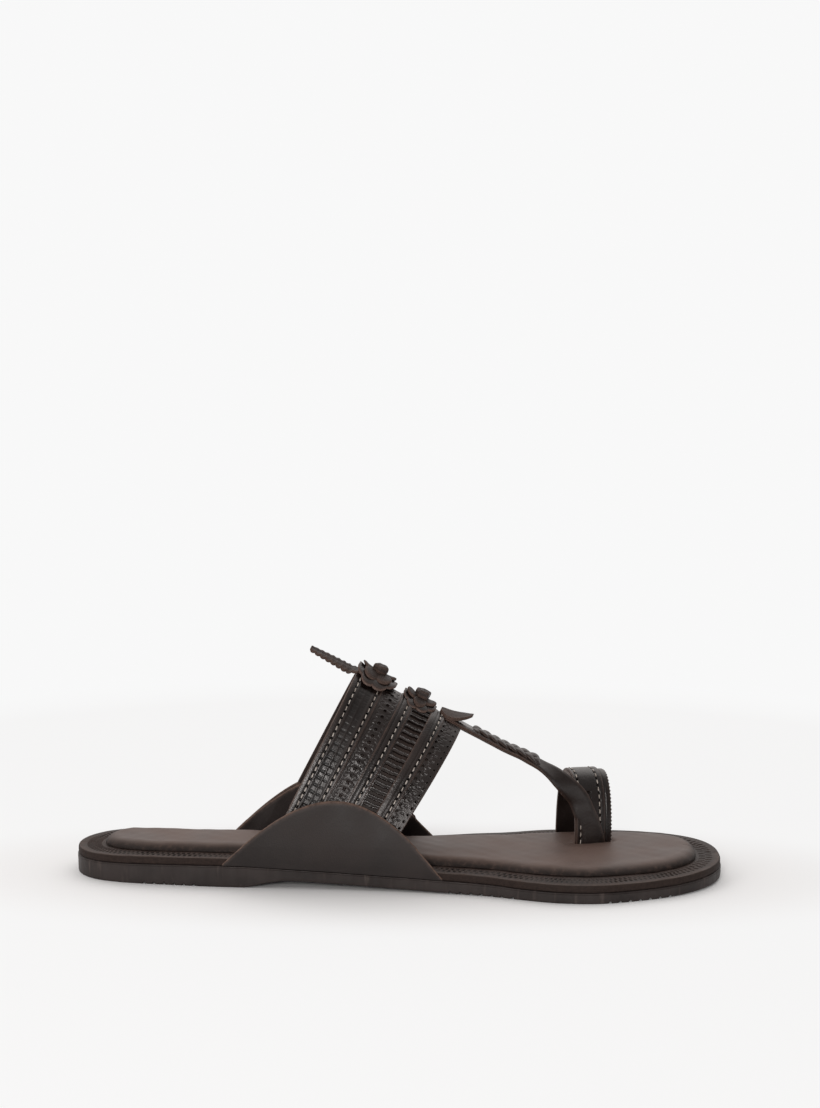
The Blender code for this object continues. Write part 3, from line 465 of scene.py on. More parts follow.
def makeBoard():
    along = stations(1150)
    near, far = edgeLines(0.0, along)
    # the strokes stand further apart round the toe; strokes counts them along each edge
    pitch = tooling["strokePitch"] * (1 + 0.5 * smoothStep((along - 0.93) / 0.04))
    strokes = {}
    for side, line in ((lateral, near), (medial, far)):
        steps = np.hypot(*np.diff(line, axis=0).T) / (pitch[1:] + pitch[:-1]) * 2
        strokes[side] = np.concatenate([[0], np.cumsum(steps)])

    def tooled(inset):
        # the top at a distance from the edge, with two rows of strokes that differ by half a pitch
        def height(x, y, a):
            phase = strokes[lateral if np.mean(y) < 0 else medial]
            mark = 0.0
            for row, shift in ((tooling["rowInner"], 0.0), (tooling["rowOuter"], 0.5)):
                middle = row * (0.35 + 0.65 * padMargin(a))
                reach = bandAway(inset - middle, tooling["strokeLength"], 0.7)
                across = nearest(phase, 1.0, shift) * pitch
                mark = mark + reach * bandAway(across, tooling["strokeWidth"], 0.5)
            patchy = np.clip(0.55 + 0.45 * waves(x, y, seed=4, size=34), 0.45, 1)
            heelEnd = 1 + 0.8 * smoothStep((0.075 - a) / 0.05)
            toeEnd = 1 + 0.5 * smoothStep((a - 0.9) / 0.06)
            z = boardTop(x) - tooling["depth"] * np.clip(mark, 0, 1) * patchy * heelEnd * toeEnd
            return z + 0.06 * waves(x, y, seed=9, size=17)
        return height

    def side(lift):
        return lambda x, y, a: boardUnderside(x) + lift + 0.05 * waves(x, y, seed=12, size=9)

    def plain(lift):
        return lambda x, y, a: boardTop(x) + lift

    edgeRows = ((0.15, 0.0), (0.0, 0.25), (-0.05, 1.0), (0.0, 1.8), (0.05, 2.45))
    levels = [(sole["boardInset"] + inset, side(lift)) for inset, lift in edgeRows]
    levels += [(sole["boardInset"] + inset, plain(lift)) for inset, lift in ((0.18, -0.22), (0.42, -0.06))]
    for distance in np.concatenate([[1.1, 2.0, 3.0, 3.6], np.arange(4.0, 12.6, 0.42), [13.2, 14.4]]):
        levels.append((distance, tooled(distance)))
    points = soleLayer(along, levels + [(16.0, plain(0.0))], 3)
    # marks by place in the ring: the near side comes first, then the top, the far side and the underside
    count = points.shape[1]
    edge = np.zeros(count)
    edge[:7] = (1, 1, 1, 1, 1, 0.75, 0.3)
    edge[-9:-2] = edge[:7][::-1]
    edge[-2:] = 1
    rub = np.zeros(count)
    rub[7:10] = (0.55, 0.35, 0.15)
    # painted shade: the bottoms of the strokes and the ground beside the pad are darkened too
    paintedStrokeShade = np.clip((boardTop(points[..., 0]) - points[..., 2] - 0.10) / 0.26, 0, 1)
    paintedStrokeShade[:, :8] = paintedStrokeShade[:, -10:] = 0
    return makeSweep("boardLeatherLayer", points, "boardLeather", ["insole_board"],
                     {"cutEdgeAndShade": edge, "rub": rub, "paintedPitShade": paintedStrokeShade})


def makePad():
    wide = np.array([math.cos(ring["skew"]), math.sin(ring["skew"])])
    feet = [ringCentre + np.array([-math.tan(ring["skew"]) * s, s]) * ringHalf for s in (-1, 1)]

    def over(x, y):
        # a calm hollow under the heel and the ball, a sink where the ring's legs go in, soft waves
        z = padUnderside(x) + sole["padHeight"]
        z = z - 0.9 * np.clip(np.abs(asideOf(y, alongOf(x))), 0, 1) ** 2.2
        z = z - 0.35 * np.exp(-((x + 100) / 24) ** 2 - (y / 17) ** 2)
        z = z - 0.40 * np.exp(-((x - 62) / 30) ** 2 - (y / 30) ** 2)
        for foot in feet:
            dx, dy = x - foot[0], y - foot[1]
            lengthwise = np.maximum(np.abs(dx * wide[0] + dy * wide[1]) - ring["width"] / 2, 0)
            sideways = np.maximum(np.abs(-dx * wide[1] + dy * wide[0]) - 1.4, 0)
            gap = np.hypot(lengthwise, sideways)
            z = z - 0.95 * np.exp(-(gap / 1.5) ** 2) - 0.25 * np.exp(-(gap / 5.5) ** 2)
        return z + 0.09 * waves(x, y, seed=21, size=26) + 0.05 * waves(x, y, seed=22, size=9)

    levels = [(sole["padMargin"], lambda x, y, a: padUnderside(x))]
    for share in np.linspace(0, 1, 11):
        fall = sole["padHeight"] * 0.78 * (1 - math.sin(share * math.pi / 2))
        inset = sole["padMargin"] + sole["padShoulder"] * share ** 1.6
        levels.append((inset, lambda x, y, a, fall=fall: over(x, y) - fall))
    points = soleLayer(stations(520), levels, 34, padMargin)
    # painted shade: the dark edge colour runs from the pad's wall up over its rounded shoulder, fading out, on both
    # sides, and covers the underside
    edge = np.zeros(points.shape[1])
    edge[:13] = 1 - smoothStep((np.arange(13) - 2.0) / 8.0)
    edge[-15:-2] = edge[:13][::-1]
    edge[-2:] = 1
    rub = np.zeros(points.shape[1])
    rub[11:15] = (0.15, 0.25, 0.2, 0.1)
    piece = makeSweep("sockPad", points, "sockLeather", ["insole_pad"],
                      {"cutEdgeAndShade": edge, "rub": rub})
    return piece


# the instep band: a table of its middle surface, read by share of width and millimetres over the foot

band = {
    "footRear": 0.3067, "footFront": 0.4898, "crestRear": 0.4295, "crestFront": 0.5920,
    "heightRear": 89.9, "heightFront": 66.7, "wall": 1.8, "step": 0.6, "endHeight": 18.0,
    "layer": 1.1, "room": 0.3, "crestAside": 0.165, "powers": {lateral: 1.75, medial: 2.1},
    "flapSpan": {lateral: (0.235, 0.573), medial: (0.227, 0.568)},
    "flapPeak": {lateral: 37.3, medial: 40.0},
    "pitch": 3.3, "rowsPerPitch": 14,
}
ring = {
    "along": 0.793, "aside": 0.567, "skew": math.radians(14), "power": 2.5,
    "wall": 2.2, "width": 17.0, "clear": 26.0, "crest": 42.0, "middleHeight": 15.0,
    "upper": (0.5, 13.9), "seams": (2.3, 11.4), "pitch": 3.3,                  # from the ring's rear edge
    "teeth": {"pitch": 1.7, "length": 0.5},
    "slots": {"at": 6.2, "pitch": 2.9, "length": 2.6, "run": (20.0, 29.0)},
}
ringCentre = np.array([xOf(ring["along"]), ring["aside"] * halfBall])
ringHalf = (ring["clear"] + ring["wall"]) / 2
bandTop = band["layer"] + band["room"] + band["wall"] + band["step"]      # raised strips, from the last
holdTotal = 2 * band["layer"] + band["wall"] + band["step"] + 2 * band["room"]


def bandPlaces(share):
    # foot and crest of the tilted section at a share of the band's width, in the side view
    footX = xOf(band["footRear"] + (band["footFront"] - band["footRear"]) * share)
    crestX = xOf(band["crestRear"] + (band["crestFront"] - band["crestRear"]) * share)
    crestZ = band["heightRear"] + (band["heightFront"] - band["heightRear"]) * share
    return footX, crestX, crestZ - bandTop


def shareAt(x, z):
    # the share of the width whose tilted section passes through a point of the side view
    rear, front = bandPlaces(0.0), bandPlaces(1.0)
    rise = z - band["endHeight"]
    atRear = rear[0] + (rear[1] - rear[0]) / (rear[2] - band["endHeight"]) * rise
    atFront = front[0] + (front[1] - front[0]) / (front[2] - band["endHeight"]) * rise
    return (x - atRear) / (atFront - atRear)


def lastSection(share, side, level):
    # sideways place of the last: crest plus the way to the sole's edge times a superellipse of the level
    footX, crestX, crestZ = bandPlaces(share)
    foot = boardTop(footX)
    lean = (crestX - footX) / (crestZ - band["endHeight"])
    below = np.minimum(foot + level * (crestZ - foot) - band["endHeight"], 0.0)
    crestY = band["crestAside"] * halfBall
    edge = edgePlace(side, alongOf(footX + lean * below)) - side * holdTotal
    power = band["powers"][side]
    bulge = (1 - np.clip(level, 0, 1) ** power) ** (1 / power)
    return crestY + (edge - crestY) * bulge


def lastSurface(side, x, z):
    share = shareAt(x, z)
    crestZ = bandPlaces(share)[2]
    foot = boardTop(x)
    return lastSection(share, side, (z - foot) / (crestZ - foot))


def bandSection(share, reach):
    # one section over the foot: even points, normals averaged over the crest, sorted by arc length
    footX, crestX, crestZ = bandPlaces(share)
    foot = boardTop(footX)
    lean = (crestX - footX) / (crestZ - band["endHeight"])
    slant = math.hypot(lean, 1.0)
    lines = []
    for side in (lateral, medial):
        level = 1 - 0.97 * (1 - np.linspace(0, 1, 500)) ** 2
        line = np.column_stack([lastSection(share, side, level), (foot + level * (crestZ - foot)) * slant])
        lines.append(line if side == lateral else line[::-1][1:])
    line = np.vstack(lines)
    length = np.concatenate([[0], np.cumsum(np.hypot(*np.diff(line, axis=0).T))])
    run = unit(np.gradient(line, axis=0))
    normal = np.column_stack([-run[:, 1], run[:, 0]])
    even = np.linspace(0, length[-1], 700)
    line = np.column_stack([np.interp(even, length, line[:, k]) for k in (0, 1)])
    normal = np.column_stack([np.interp(even, length, normal[:, k]) for k in (0, 1)])
    padded = np.vstack([normal[:1].repeat(17, 0), normal, normal[-1:].repeat(17, 0)])
    normal = unit(np.column_stack([np.convolve(padded[:, k], np.ones(35) / 35, "valid") for k in (0, 1)]))
    outside = line + normal * bandTop
    arc = np.concatenate([[0], np.cumsum(np.hypot(*np.diff(outside, axis=0).T))])
    arc -= arc[outside[:, 1].argmax()]
    line = np.column_stack([np.interp(reach, arc, line[:, k]) for k in (0, 1)])
    normal = unit(np.column_stack([np.interp(reach, arc, normal[:, k]) for k in (0, 1)]))
    z = line[:, 1] / slant
    base = np.column_stack([footX + lean * (z - band["endHeight"]), line[:, 0], z])
    up = np.column_stack([lean * normal[:, 1] / slant, normal[:, 0], normal[:, 1] / slant])
    aboveEnd = (base + up * bandTop)[:, 2] > band["endHeight"]
    ends = reach[aboveEnd][[0, -1]]
    return base, up, ends


tableShare = np.linspace(-0.06, 1.06, 113)
reachStep = 0.25
tableReach = np.arange(-118.0, 118.01, reachStep)
sections = [bandSection(share, tableReach) for share in tableShare]
tableBase = np.stack([s[0] for s in sections])
tableUp = np.stack([s[1] for s in sections])
tableEnds = np.stack([s[2] for s in sections])
bandWidth = bandPlaces(1.0)[0] - bandPlaces(0.0)[0]


def bandPoint(share, reach, lift):
    # the table between its rows, plus the lift along the outward normal
    share, reach, lift = np.broadcast_arrays(share, reach, lift)
    a = np.clip((share - tableShare[0]) / (tableShare[1] - tableShare[0]), 0, len(tableShare) - 1.001)
    b = np.clip((reach - tableReach[0]) / reachStep, 0, len(tableReach) - 1.001)
    i, j = a.astype(int), b.astype(int)
    s, t = (a - i)[..., None], (b - j)[..., None]

    def read(table):
        return (table[i, j] * (1 - s) * (1 - t) + table[i + 1, j] * s * (1 - t)
                + table[i, j + 1] * (1 - s) * t + table[i + 1, j + 1] * s * t)

    return read(tableBase) + read(tableUp) * lift[..., None]


def endsFor(start, end):
    # how far a strip runs on both sides: to the end of its shorter edge
    shares = np.linspace(start, end, 9)
    low = max(np.interp(shares, tableShare, tableEnds[:, 0]))
    high = min(np.interp(shares, tableShare, tableEnds[:, 1]))
    return low, high


def bandRows(start, end):
    low, high = endsFor(start, end)
    step = band["pitch"] / band["rowsPerPitch"]
    rows = np.arange(math.ceil(low / step), math.floor(high / step) + 1) * step
    return np.concatenate([[low], rows[(rows > low + 0.05) & (rows < high - 0.05)], [high]])


def edgeColumns(width, step=0.25):
    rim = np.array([0.0, 0.03, 0.1, 0.2, 0.33])
    middle = np.linspace(0.5, width - 0.5, max(int((width - 1.0) / step), 2))
    return np.concatenate([rim, middle, width - rim[::-1]])


def edgeDrop(u, width, radius=0.34):
    # a quarter circle at both edges
    near = np.minimum(np.minimum(u, width - u), radius)
    return radius - np.sqrt(np.maximum(radius ** 2 - (radius - near) ** 2, 0))


def stitchHoles(u, v, at, pitch):
    # the seam is pulled in, with a hole between neighbouring stitches
    pull = 0.16 * bandAway(u - at, 1.5, 0.9)
    gap = np.hypot(u - at, nearest(v, pitch, pitch / 2))
    return -pull - (1 - smoothStep((gap - 0.26) / 0.32))


def punched(u, v, at, pitch, radius, depth):
    gap = np.hypot(u - at, nearest(v, pitch))
    lip = 0.07 * np.exp(-((gap - radius - 0.25) / 0.2) ** 2)
    return lip - depth * (1 - smoothStep((gap - radius + 0.12) / 0.24))


def crescent(u, v, at, pitch, radius, facing, depth):
    # half a ring pressed in with a curved tool; facing +1 opens towards the front
    du, dv = u - at, nearest(v, pitch)
    ringShape = bandAway(np.hypot(du, dv) - radius, 0.5, 0.34)
    return -depth * ringShape * smoothStep((-du * facing + 0.55) / 0.5)


def oblong(u, v, at, pitch, length, width, depth):
    return -depth * bandAway(u - at, length, 0.45) * bandAway(nearest(v, pitch), width, 0.32)


def makeStrip(name, facts, bottom, relief):
    # a strip of leather over the foot: its outer face is lifted by the relief, its edges are rounded
    start, end, wobble, seed = (facts[key] for key in ("start", "end", "wobble", "seed"))
    width = (end - start) * bandWidth
    u = edgeColumns(width)
    U, V = np.meshgrid(u, bandRows(start, end))
    share = np.broadcast_to(start + (end - start) * u / width, U.shape)
    if wobble:
        # the edge isn't cut dead straight
        uneven = wobble * waves(V, seed=seed, size=30) / bandWidth
        share = share + uneven * smoothStep(np.abs(U / width - 0.5) * 2 - 0.6)
    shape = relief(U, V)
    lift = bandTop - facts["lower"] + shape - edgeDrop(U, width) + 0.05 * waves(U, V, seed=seed + 3, size=13)
    inner = bandPoint(share[:, [-1, 0]], V[:, [-1, 0]], bottom)
    near = np.minimum(U, width - U)
    proud = np.exp(-((near - 0.5) / 0.35) ** 2) * 0.4 + 0.12 * smoothStep(shape / 0.2)
    blank = np.zeros((len(V), 2))
    marks = {
        "cutEdgeAndShade": bothFaces(1 - smoothStep((near - 0.05) / 0.3), blank + 1),
        "rub": bothFaces(proud, blank),
        # painted shade in the deep stitch holes, punched holes, slots and pressed marks
        "paintedPitShade": bothFaces(np.clip(-shape / 0.55 - 0.15, 0, 1), blank),
    }
    outer = bandPoint(share, V, lift)
    makeSweep(name, bothFaces(outer, inner), "bandLeather", ["upper"], marks)


def makeThreads(name, centre, along, up, length=2.1, width=0.50, height=0.42):
    # each stitch: an ellipse carried along its length, its size the root of one less the place squared
    across = unit(np.cross(up, along))
    turn = np.linspace(0, 2 * math.pi, 8, endpoint=False)
    place = np.sin(np.linspace(-math.pi / 2, math.pi / 2, 9))
    size = np.maximum(1 - np.abs(place) ** 3, 0) ** 0.5 + 0.02
    local = np.stack([
        np.broadcast_to((place * length / 2)[:, None], (9, 8)),
        size[:, None] * np.cos(turn) * width / 2,
        size[:, None] * np.sin(turn) * height / 2 - 0.16 * (place ** 2)[:, None] * height,
    ], -1).reshape(-1, 3)
    points = (centre[:, None] + along[:, None] * local[None, :, :1] + across[:, None] * local[None, :, 1:2]
              + up[:, None] * local[None, :, 2:])
    one = sweepFaces(9, 8)
    faces = [[corner + k * len(local) for corner in face] for k in range(len(centre)) for face in one]
    makePiece(name, points, faces, "thread", ["upper"])


def stitchPlaces(low, high, pitch):
    return np.arange(math.ceil(low / pitch), math.floor(high / pitch) + 1) * pitch


def stitchLine(name, share, lift, start, end):
    low, high = endsFor(start, end)
    v = stitchPlaces(low + 1.4, high - 1.4, band["pitch"])
    centre = bandPoint(share, v, lift)
    along = unit(bandPoint(share, v + 0.8, lift) - bandPoint(share, v - 0.8, lift))
    up = unit(bandPoint(share, v, lift + 1) - centre)
    slant = unit(along + 0.10 * np.cross(up, along))
    makeThreads(name, centre, slant, up)


bandStrips = {                   # shares of the band's width; lower is how far a face lies under the highest
    "rearStrip": {
        "start": 0.004, "end": 0.268, "lower": 0.0, "wobble": 0.10, "seed": 41, "seams": (0.056, 0.232),
    },
    "punchedPanel": {"start": 0.250, "end": 0.450, "lower": 0.5, "wobble": 0.0, "seed": 43, "holes": 0.357},
    "middleStrip": {
        "start": 0.430, "end": 0.550, "lower": 0.0, "wobble": 0.10, "seed": 45, "seams": (0.507,),
    },
    "ladderPanel": {"start": 0.535, "end": 0.730, "lower": 0.5, "wobble": 0.0, "seed": 47, "slotWidth": 1.35},
    "frontRib": {"start": 0.708, "end": 0.838, "lower": 0.0, "wobble": 0.10, "seed": 49, "seams": (0.802,)},
    "frontPanel": {"start": 0.820, "end": 0.997, "lower": 0.5, "wobble": 0.12, "seed": 51, "holes": 0.857,
                   "crescents": 0.895, "pinholes": 0.962},
}


def stripPlace(strip, key, number=None):
    # a row's distance from its strip's rear edge
    share = bandStrips[strip][key] if number is None else bandStrips[strip][key][number]
    return (share - bandStrips[strip]["start"]) * bandWidth


def makeLining(low, high):
    # the base wall under the strips, whose inner side is the lining
    rows = np.unique(np.concatenate([np.linspace(*endsFor(0, 1), 260), [0.0]]))
    U, V = np.meshgrid(edgeColumns(bandWidth, 1.2), rows)
    outer = bandPoint(U / bandWidth, V, high - edgeDrop(U, bandWidth, 0.4))
    inside = low + edgeDrop(U, bandWidth, 0.3) + 0.04 * waves(U, V, seed=31, size=14)
    inner = bandPoint(U / bandWidth, V, inside)[:, ::-1]
    edgeAndShadeMask = 1 - smoothStep((np.minimum(U, bandWidth - U) - 0.1) / 0.35)
    makeSweep("bandLining", bothFaces(outer, inner), "leafLeather", ["upper"],
              {"cutEdgeAndShade": bothFaces(edgeAndShadeMask)})


def makeBand():
    pitch = band["pitch"]

    def rearRelief(u, v):
        first, second = (stripPlace("rearStrip", "seams", number) for number in (0, 1))
        sink = -0.34 * smoothStep((u - first - 1.0) / 1.2) * smoothStep((second - 1.0 - u) / 1.2)
        # the pressed marks fade towards the crest
        low = 0.25 + 0.75 * smoothStep((np.abs(v) - 16) / 34)
        marks = oblong(u, v, first + 3.2, pitch, 2.3, 0.95, 0.30 * low)
        marks = marks + oblong(u, v, first + 6.2, pitch, 1.6, 0.8, 0.20 * low)
        ridge = 0.12 * bandAway(u - first - 4.5, 0.8, 0.6)
        return sink + marks + ridge + stitchHoles(u, v, first, pitch) + stitchHoles(u, v, second, pitch)

    def punchedRelief(u, v):
        at = stripPlace("punchedPanel", "holes")
        rows = punched(u, v, at, pitch, 0.62, 1.1)
        rows = rows + crescent(u, v, at - 2.2, pitch, 1.05, 1, 0.20)
        rows = rows + crescent(u, v, at + 2.1, pitch, 1.05, -1, 0.16)
        swell = 0.06 * np.cos(2 * math.pi * v / pitch) * bandAway(u - at, 5.5, 2.0)
        return rows - 0.14 * bandAway(u - at + 3.9, 0.4, 0.3) + swell

    def middleRelief(u, v):
        fold = -0.30 * bandAway(u - 1.5, 0.5, 0.45)
        return fold + stitchHoles(u, v, stripPlace("middleStrip", "seams", 0), pitch)

    def ladderRelief(u, v):
        gap = np.abs(nearest(v, pitch))
        slot = 1 - smoothStep((gap - bandStrips["ladderPanel"]["slotWidth"] / 2 + 0.1) / 0.2)
        rung = np.sin(math.pi * np.clip((gap - 0.55) / 1.1, 0, 1)) * smoothStep((u - 1.0) / 0.8)
        return 0.26 * rung - 1.7 * slot * smoothStep((u - 1.35) / 0.3)

    def ribRelief(u, v):
        swell = 0.10 * bandAway(u - 1.7, 2.2, 1.6) - 0.16 * bandAway(u - 3.2, 0.5, 0.5)
        return swell + stitchHoles(u, v, stripPlace("frontRib", "seams", 0), pitch)

    def frontRelief(u, v):
        holes = punched(u, v, stripPlace("frontPanel", "holes"), pitch, 0.55, 1.1)
        pins = punched(u, v, stripPlace("frontPanel", "pinholes"), pitch, 0.28, 0.8)
        at = stripPlace("frontPanel", "crescents")
        marks = crescent(u, v, at - 0.2, pitch, 1.2, 1, 0.20) + oblong(u, v, at + 0.9, pitch, 1.7, 0.7, 0.22)
        return holes + pins + marks

    low = band["layer"] + band["room"]
    high = low + band["wall"] - 0.75
    makeLining(low, high)
    reliefs = (rearRelief, punchedRelief, middleRelief, ladderRelief, ribRelief, frontRelief)
    for (strip, facts), relief in zip(bandStrips.items(), reliefs):
        makeStrip(strip, facts, high - 0.35, relief)
    seams = [(share, facts) for facts in bandStrips.values() for share in facts.get("seams", ())]
    for number, (share, facts) in enumerate(seams, 1):
        stitchLine(f"bandStitches{number}", share, bandTop + 0.02, facts["start"], facts["end"])


# side flaps: two thin layers that hold the band's ends between them

def flapTop(side, x):
    start, end = (xOf(a) for a in band["flapSpan"][side])
    t = np.clip((x - start) / (end - start), 0, 1)
    return boardUnderside(x) + (band["flapPeak"][side] - boardUnderside(x)) * np.sin(math.pi * t)


def flapSurface(side, x, z):
    # the last's surface and its outward normal, from small differences
    y = lastSurface(side, x, z)
    step = 0.4
    slopeZ = (lastSurface(side, x, z + step) - y) / step
    slopeX = (lastSurface(side, x + step, z) - y) / step
    normal = unit(np.stack([-slopeX, np.ones_like(x), -slopeZ], -1) * side)
    return np.stack([x, y, z], -1), normal


def makeFlapLayer(name, side, inside, outside, lower, count=240, rows=60):
    # columns of points from the sole up to the flap's curved top; inside and outside are lifts from
    # the last, as functions of how far the band holds the flap out there
    start, end = (xOf(a) for a in band["flapSpan"][side])
    t = np.linspace(0, 1, count)
    t = 0.35 * (0.5 - 0.5 * np.cos(math.pi * t)) + 0.65 * t
    x = (start + 0.8 + (end - start - 1.6) * t)[:, None]
    base = boardUnderside(x)
    top = np.maximum(flapTop(side, x) - lower, base + 0.6)
    rise = np.concatenate([np.linspace(0, 1, rows)[:-1] * 0.97, [0.985, 0.993, 1.0]])
    z = base + (top - base) * rise
    X = np.broadcast_to(x, z.shape)
    point, normal = flapSurface(side, X, z)
    share = shareAt(X, z)
    held = smoothStep((share + 0.22) / 0.14) * smoothStep((1.22 - share) / 0.14)
    toTop = top - z
    drop = 0.5 - np.sqrt(np.maximum(0.25 - (0.5 - np.minimum(toTop, 0.5)) ** 2, 0))
    uneven = 0.10 * waves(X, z, seed=61 + side, size=24)
    outer = point + normal * (outside(held) - drop + uneven)[..., None]
    inner = point + normal * (inside(held) + drop)[..., None]
    outer[:, 0, 2] = inner[:, 0, 2] = base[:, 0]
    edgeAndShadeMask = 1 - smoothStep((toTop - 0.35) / 0.45)
    rub = 0.5 * np.exp(-((toTop - 1.0) / 0.8) ** 2)
    node = "side_flap_lateral" if side == lateral else "side_flap_medial"
    makeSweep(name, bothFaces(outer, inner[:, ::-1]), "flapLeather", [node],
              {"cutEdgeAndShade": bothFaces(edgeAndShadeMask), "rub": bothFaces(rub)})


def makeFlaps():
    layer = band["layer"]
    gap = holdTotal - 2 * layer          # between the layers where the band's end lies

    for side, word in ((lateral, "Lateral"), (medial, "Medial")):
        makeFlapLayer(f"flapOuter{word}", side, lambda held: holdTotal - layer + 0 * held,
                      lambda held: holdTotal + 0 * held, 0.0)
        makeFlapLayer(f"flapInner{word}", side, lambda held: gap * (1 - held),
                      lambda held: gap * (1 - held) + layer - 0.02, 0.5)


# toe ring: a wide lower layer with a toothed front edge, and a stitched upper layer

def ringPath(count):
    # up one leg, over the toe as a superellipse, and down the other leg
    knee, base = boardTop(ringCentre[0]), boardUnderside(ringCentre[0])
    turn = np.linspace(0, math.pi, 1201)
    out = -np.sign(np.cos(turn)) * np.abs(np.cos(turn)) ** (2 / ring["power"])
    up = np.sin(turn) ** (2 / ring["power"])
    aside = np.concatenate([[-ringHalf], ringHalf * out, [ringHalf]])
    height = np.concatenate([[base], knee + (ring["crest"] - ring["wall"] / 2 - knee) * up, [base]])
    line = np.column_stack([ringCentre[0] - math.tan(ring["skew"]) * aside, ringCentre[1] + aside, height])
    length = runLength(line)
    even = np.linspace(0, length[-1], count)
    path = interpRows(even, length, line)
    run = unit(np.gradient(path, axis=0))
    for k in range(3):
        run[:, k] = np.convolve(np.pad(run[:, k], 6, mode="edge"), np.ones(13) / 13, "valid")
    run = unit(run)
    wide = np.array([math.cos(ring["skew"]), math.sin(ring["skew"]), 0.0])
    wide = unit(wide - run * (run @ wide)[:, None])
    outward = np.cross(run, wide)
    centre = path.copy()
    centre[:, 1:] = ringCentre[1], ring["middleHeight"]
    outward *= np.sign(np.sum(outward * (path - centre), axis=1))[:, None]
    return path, wide, outward, even


def makeRing():
    path, wide, outward, even = ringPath(330)
    total = even[-1]
    width, wall, teeth, slots = ring["width"], ring["wall"], ring["teeth"], ring["slots"]

    def layer(name, first, last, top, bottom, relief, toothed=False):
        U, V = np.meshgrid(edgeColumns(last - first, 0.3), even)
        place = U + first - width / 2
        if toothed:
            saw = teeth["length"] * (1 - np.abs(nearest(V, teeth["pitch"])) / (teeth["pitch"] / 2))
            place = place + saw * smoothStep((U - (last - first) + 1.6) / 1.2)
        lift = top + relief(U + first, V) - edgeDrop(U, last - first, 0.3)
        lift = lift + 0.03 * waves(U, V, seed=71, size=9)
        under = bottom + edgeDrop(U, last - first, 0.25)

        def surface(height):
            return path[:, None] + wide[:, None] * place[..., None] + outward[:, None] * height[..., None]

        near = np.minimum(U, last - first - U)
        edgeAndShadeMask = 1 - smoothStep((near - 0.05) / 0.35)
        rub = 0.35 * np.exp(-((near - 0.5) / 0.4) ** 2)
        points = bothFaces(surface(lift), surface(under)[:, ::-1])
        makeSweep(name, points, "bandLeather", ["upper"],
                  {"cutEdgeAndShade": bothFaces(edgeAndShadeMask), "rub": bothFaces(rub, 0 * rub)})

    def lowerRelief(u, v):
        return -0.25 * bandAway(u - 14.6, 0.5, 0.4)

    def upperRelief(u, v):
        holes = sum(stitchHoles(u, v, at, ring["pitch"]) for at in ring["seams"])
        start, end = slots["run"]
        row = bandAway(nearest(v, slots["pitch"], total / 2), 1.1, 0.3)
        row = row * smoothStep((v - start) / 0.6) * smoothStep((end - v) / 0.6)
        dome = 0.10 * np.sin(math.pi * np.clip((u - 2.8) / 8, 0, 1))
        return holes - 0.7 * bandAway(u - slots["at"], slots["length"], 0.4) * row + dome

    layer("ringLower", 0.0, width, 0.1, -wall / 2, lowerRelief, True)
    layer("ringUpper", *ring["upper"], wall / 2, -0.1, upperRelief)
    v = stitchPlaces(6, total - 6, ring["pitch"])
    spot, across, up = (interpRows(v, even, table) for table in (path, wide, outward))
    across, up = unit(across), unit(up)
    ahead = unit(interpRows(v + 0.8, even, path) - interpRows(v - 0.8, even, path))
    for number, at in enumerate(ring["seams"], 1):
        centre = spot + across * (at - width / 2) + up * (wall / 2 + 0.02)
        makeThreads(f"ringStitches{number}", centre, ahead, up, 2.05, 0.52, 0.40)


# toe strap: plaited over the instep, then flat, and turned sideways down the ring's near leg

strap = {
    "width": 11.0, "thick": 2.8, "thin": 1.9, "plaitStart": 0.135, "plaitEnd": 0.475, "plaitTurns": 2.4,
    "route": (                       # along, aside, up, width, twist
        (0.572, 0.165, 1.038, 1.00, 0.00), (0.584, 0.165, 1.008, 1.00, 0.00),
        (0.602, 0.165, 0.962, 1.00, 0.00), (0.630, 0.170, 0.900, 0.95, 0.00),
        (0.661, 0.176, 0.830, 0.86, 0.03), (0.692, 0.184, 0.770, 0.76, 0.10),
        (0.722, 0.194, 0.700, 0.74, 0.28), (0.748, 0.208, 0.616, 0.80, 0.60),
    ),
    "down": ((0.68, -8.0, 0.86), (0.42, -4.2, 0.90), (0.16, -1.2, 0.93), (-0.04, 0.0, 0.95)),
}


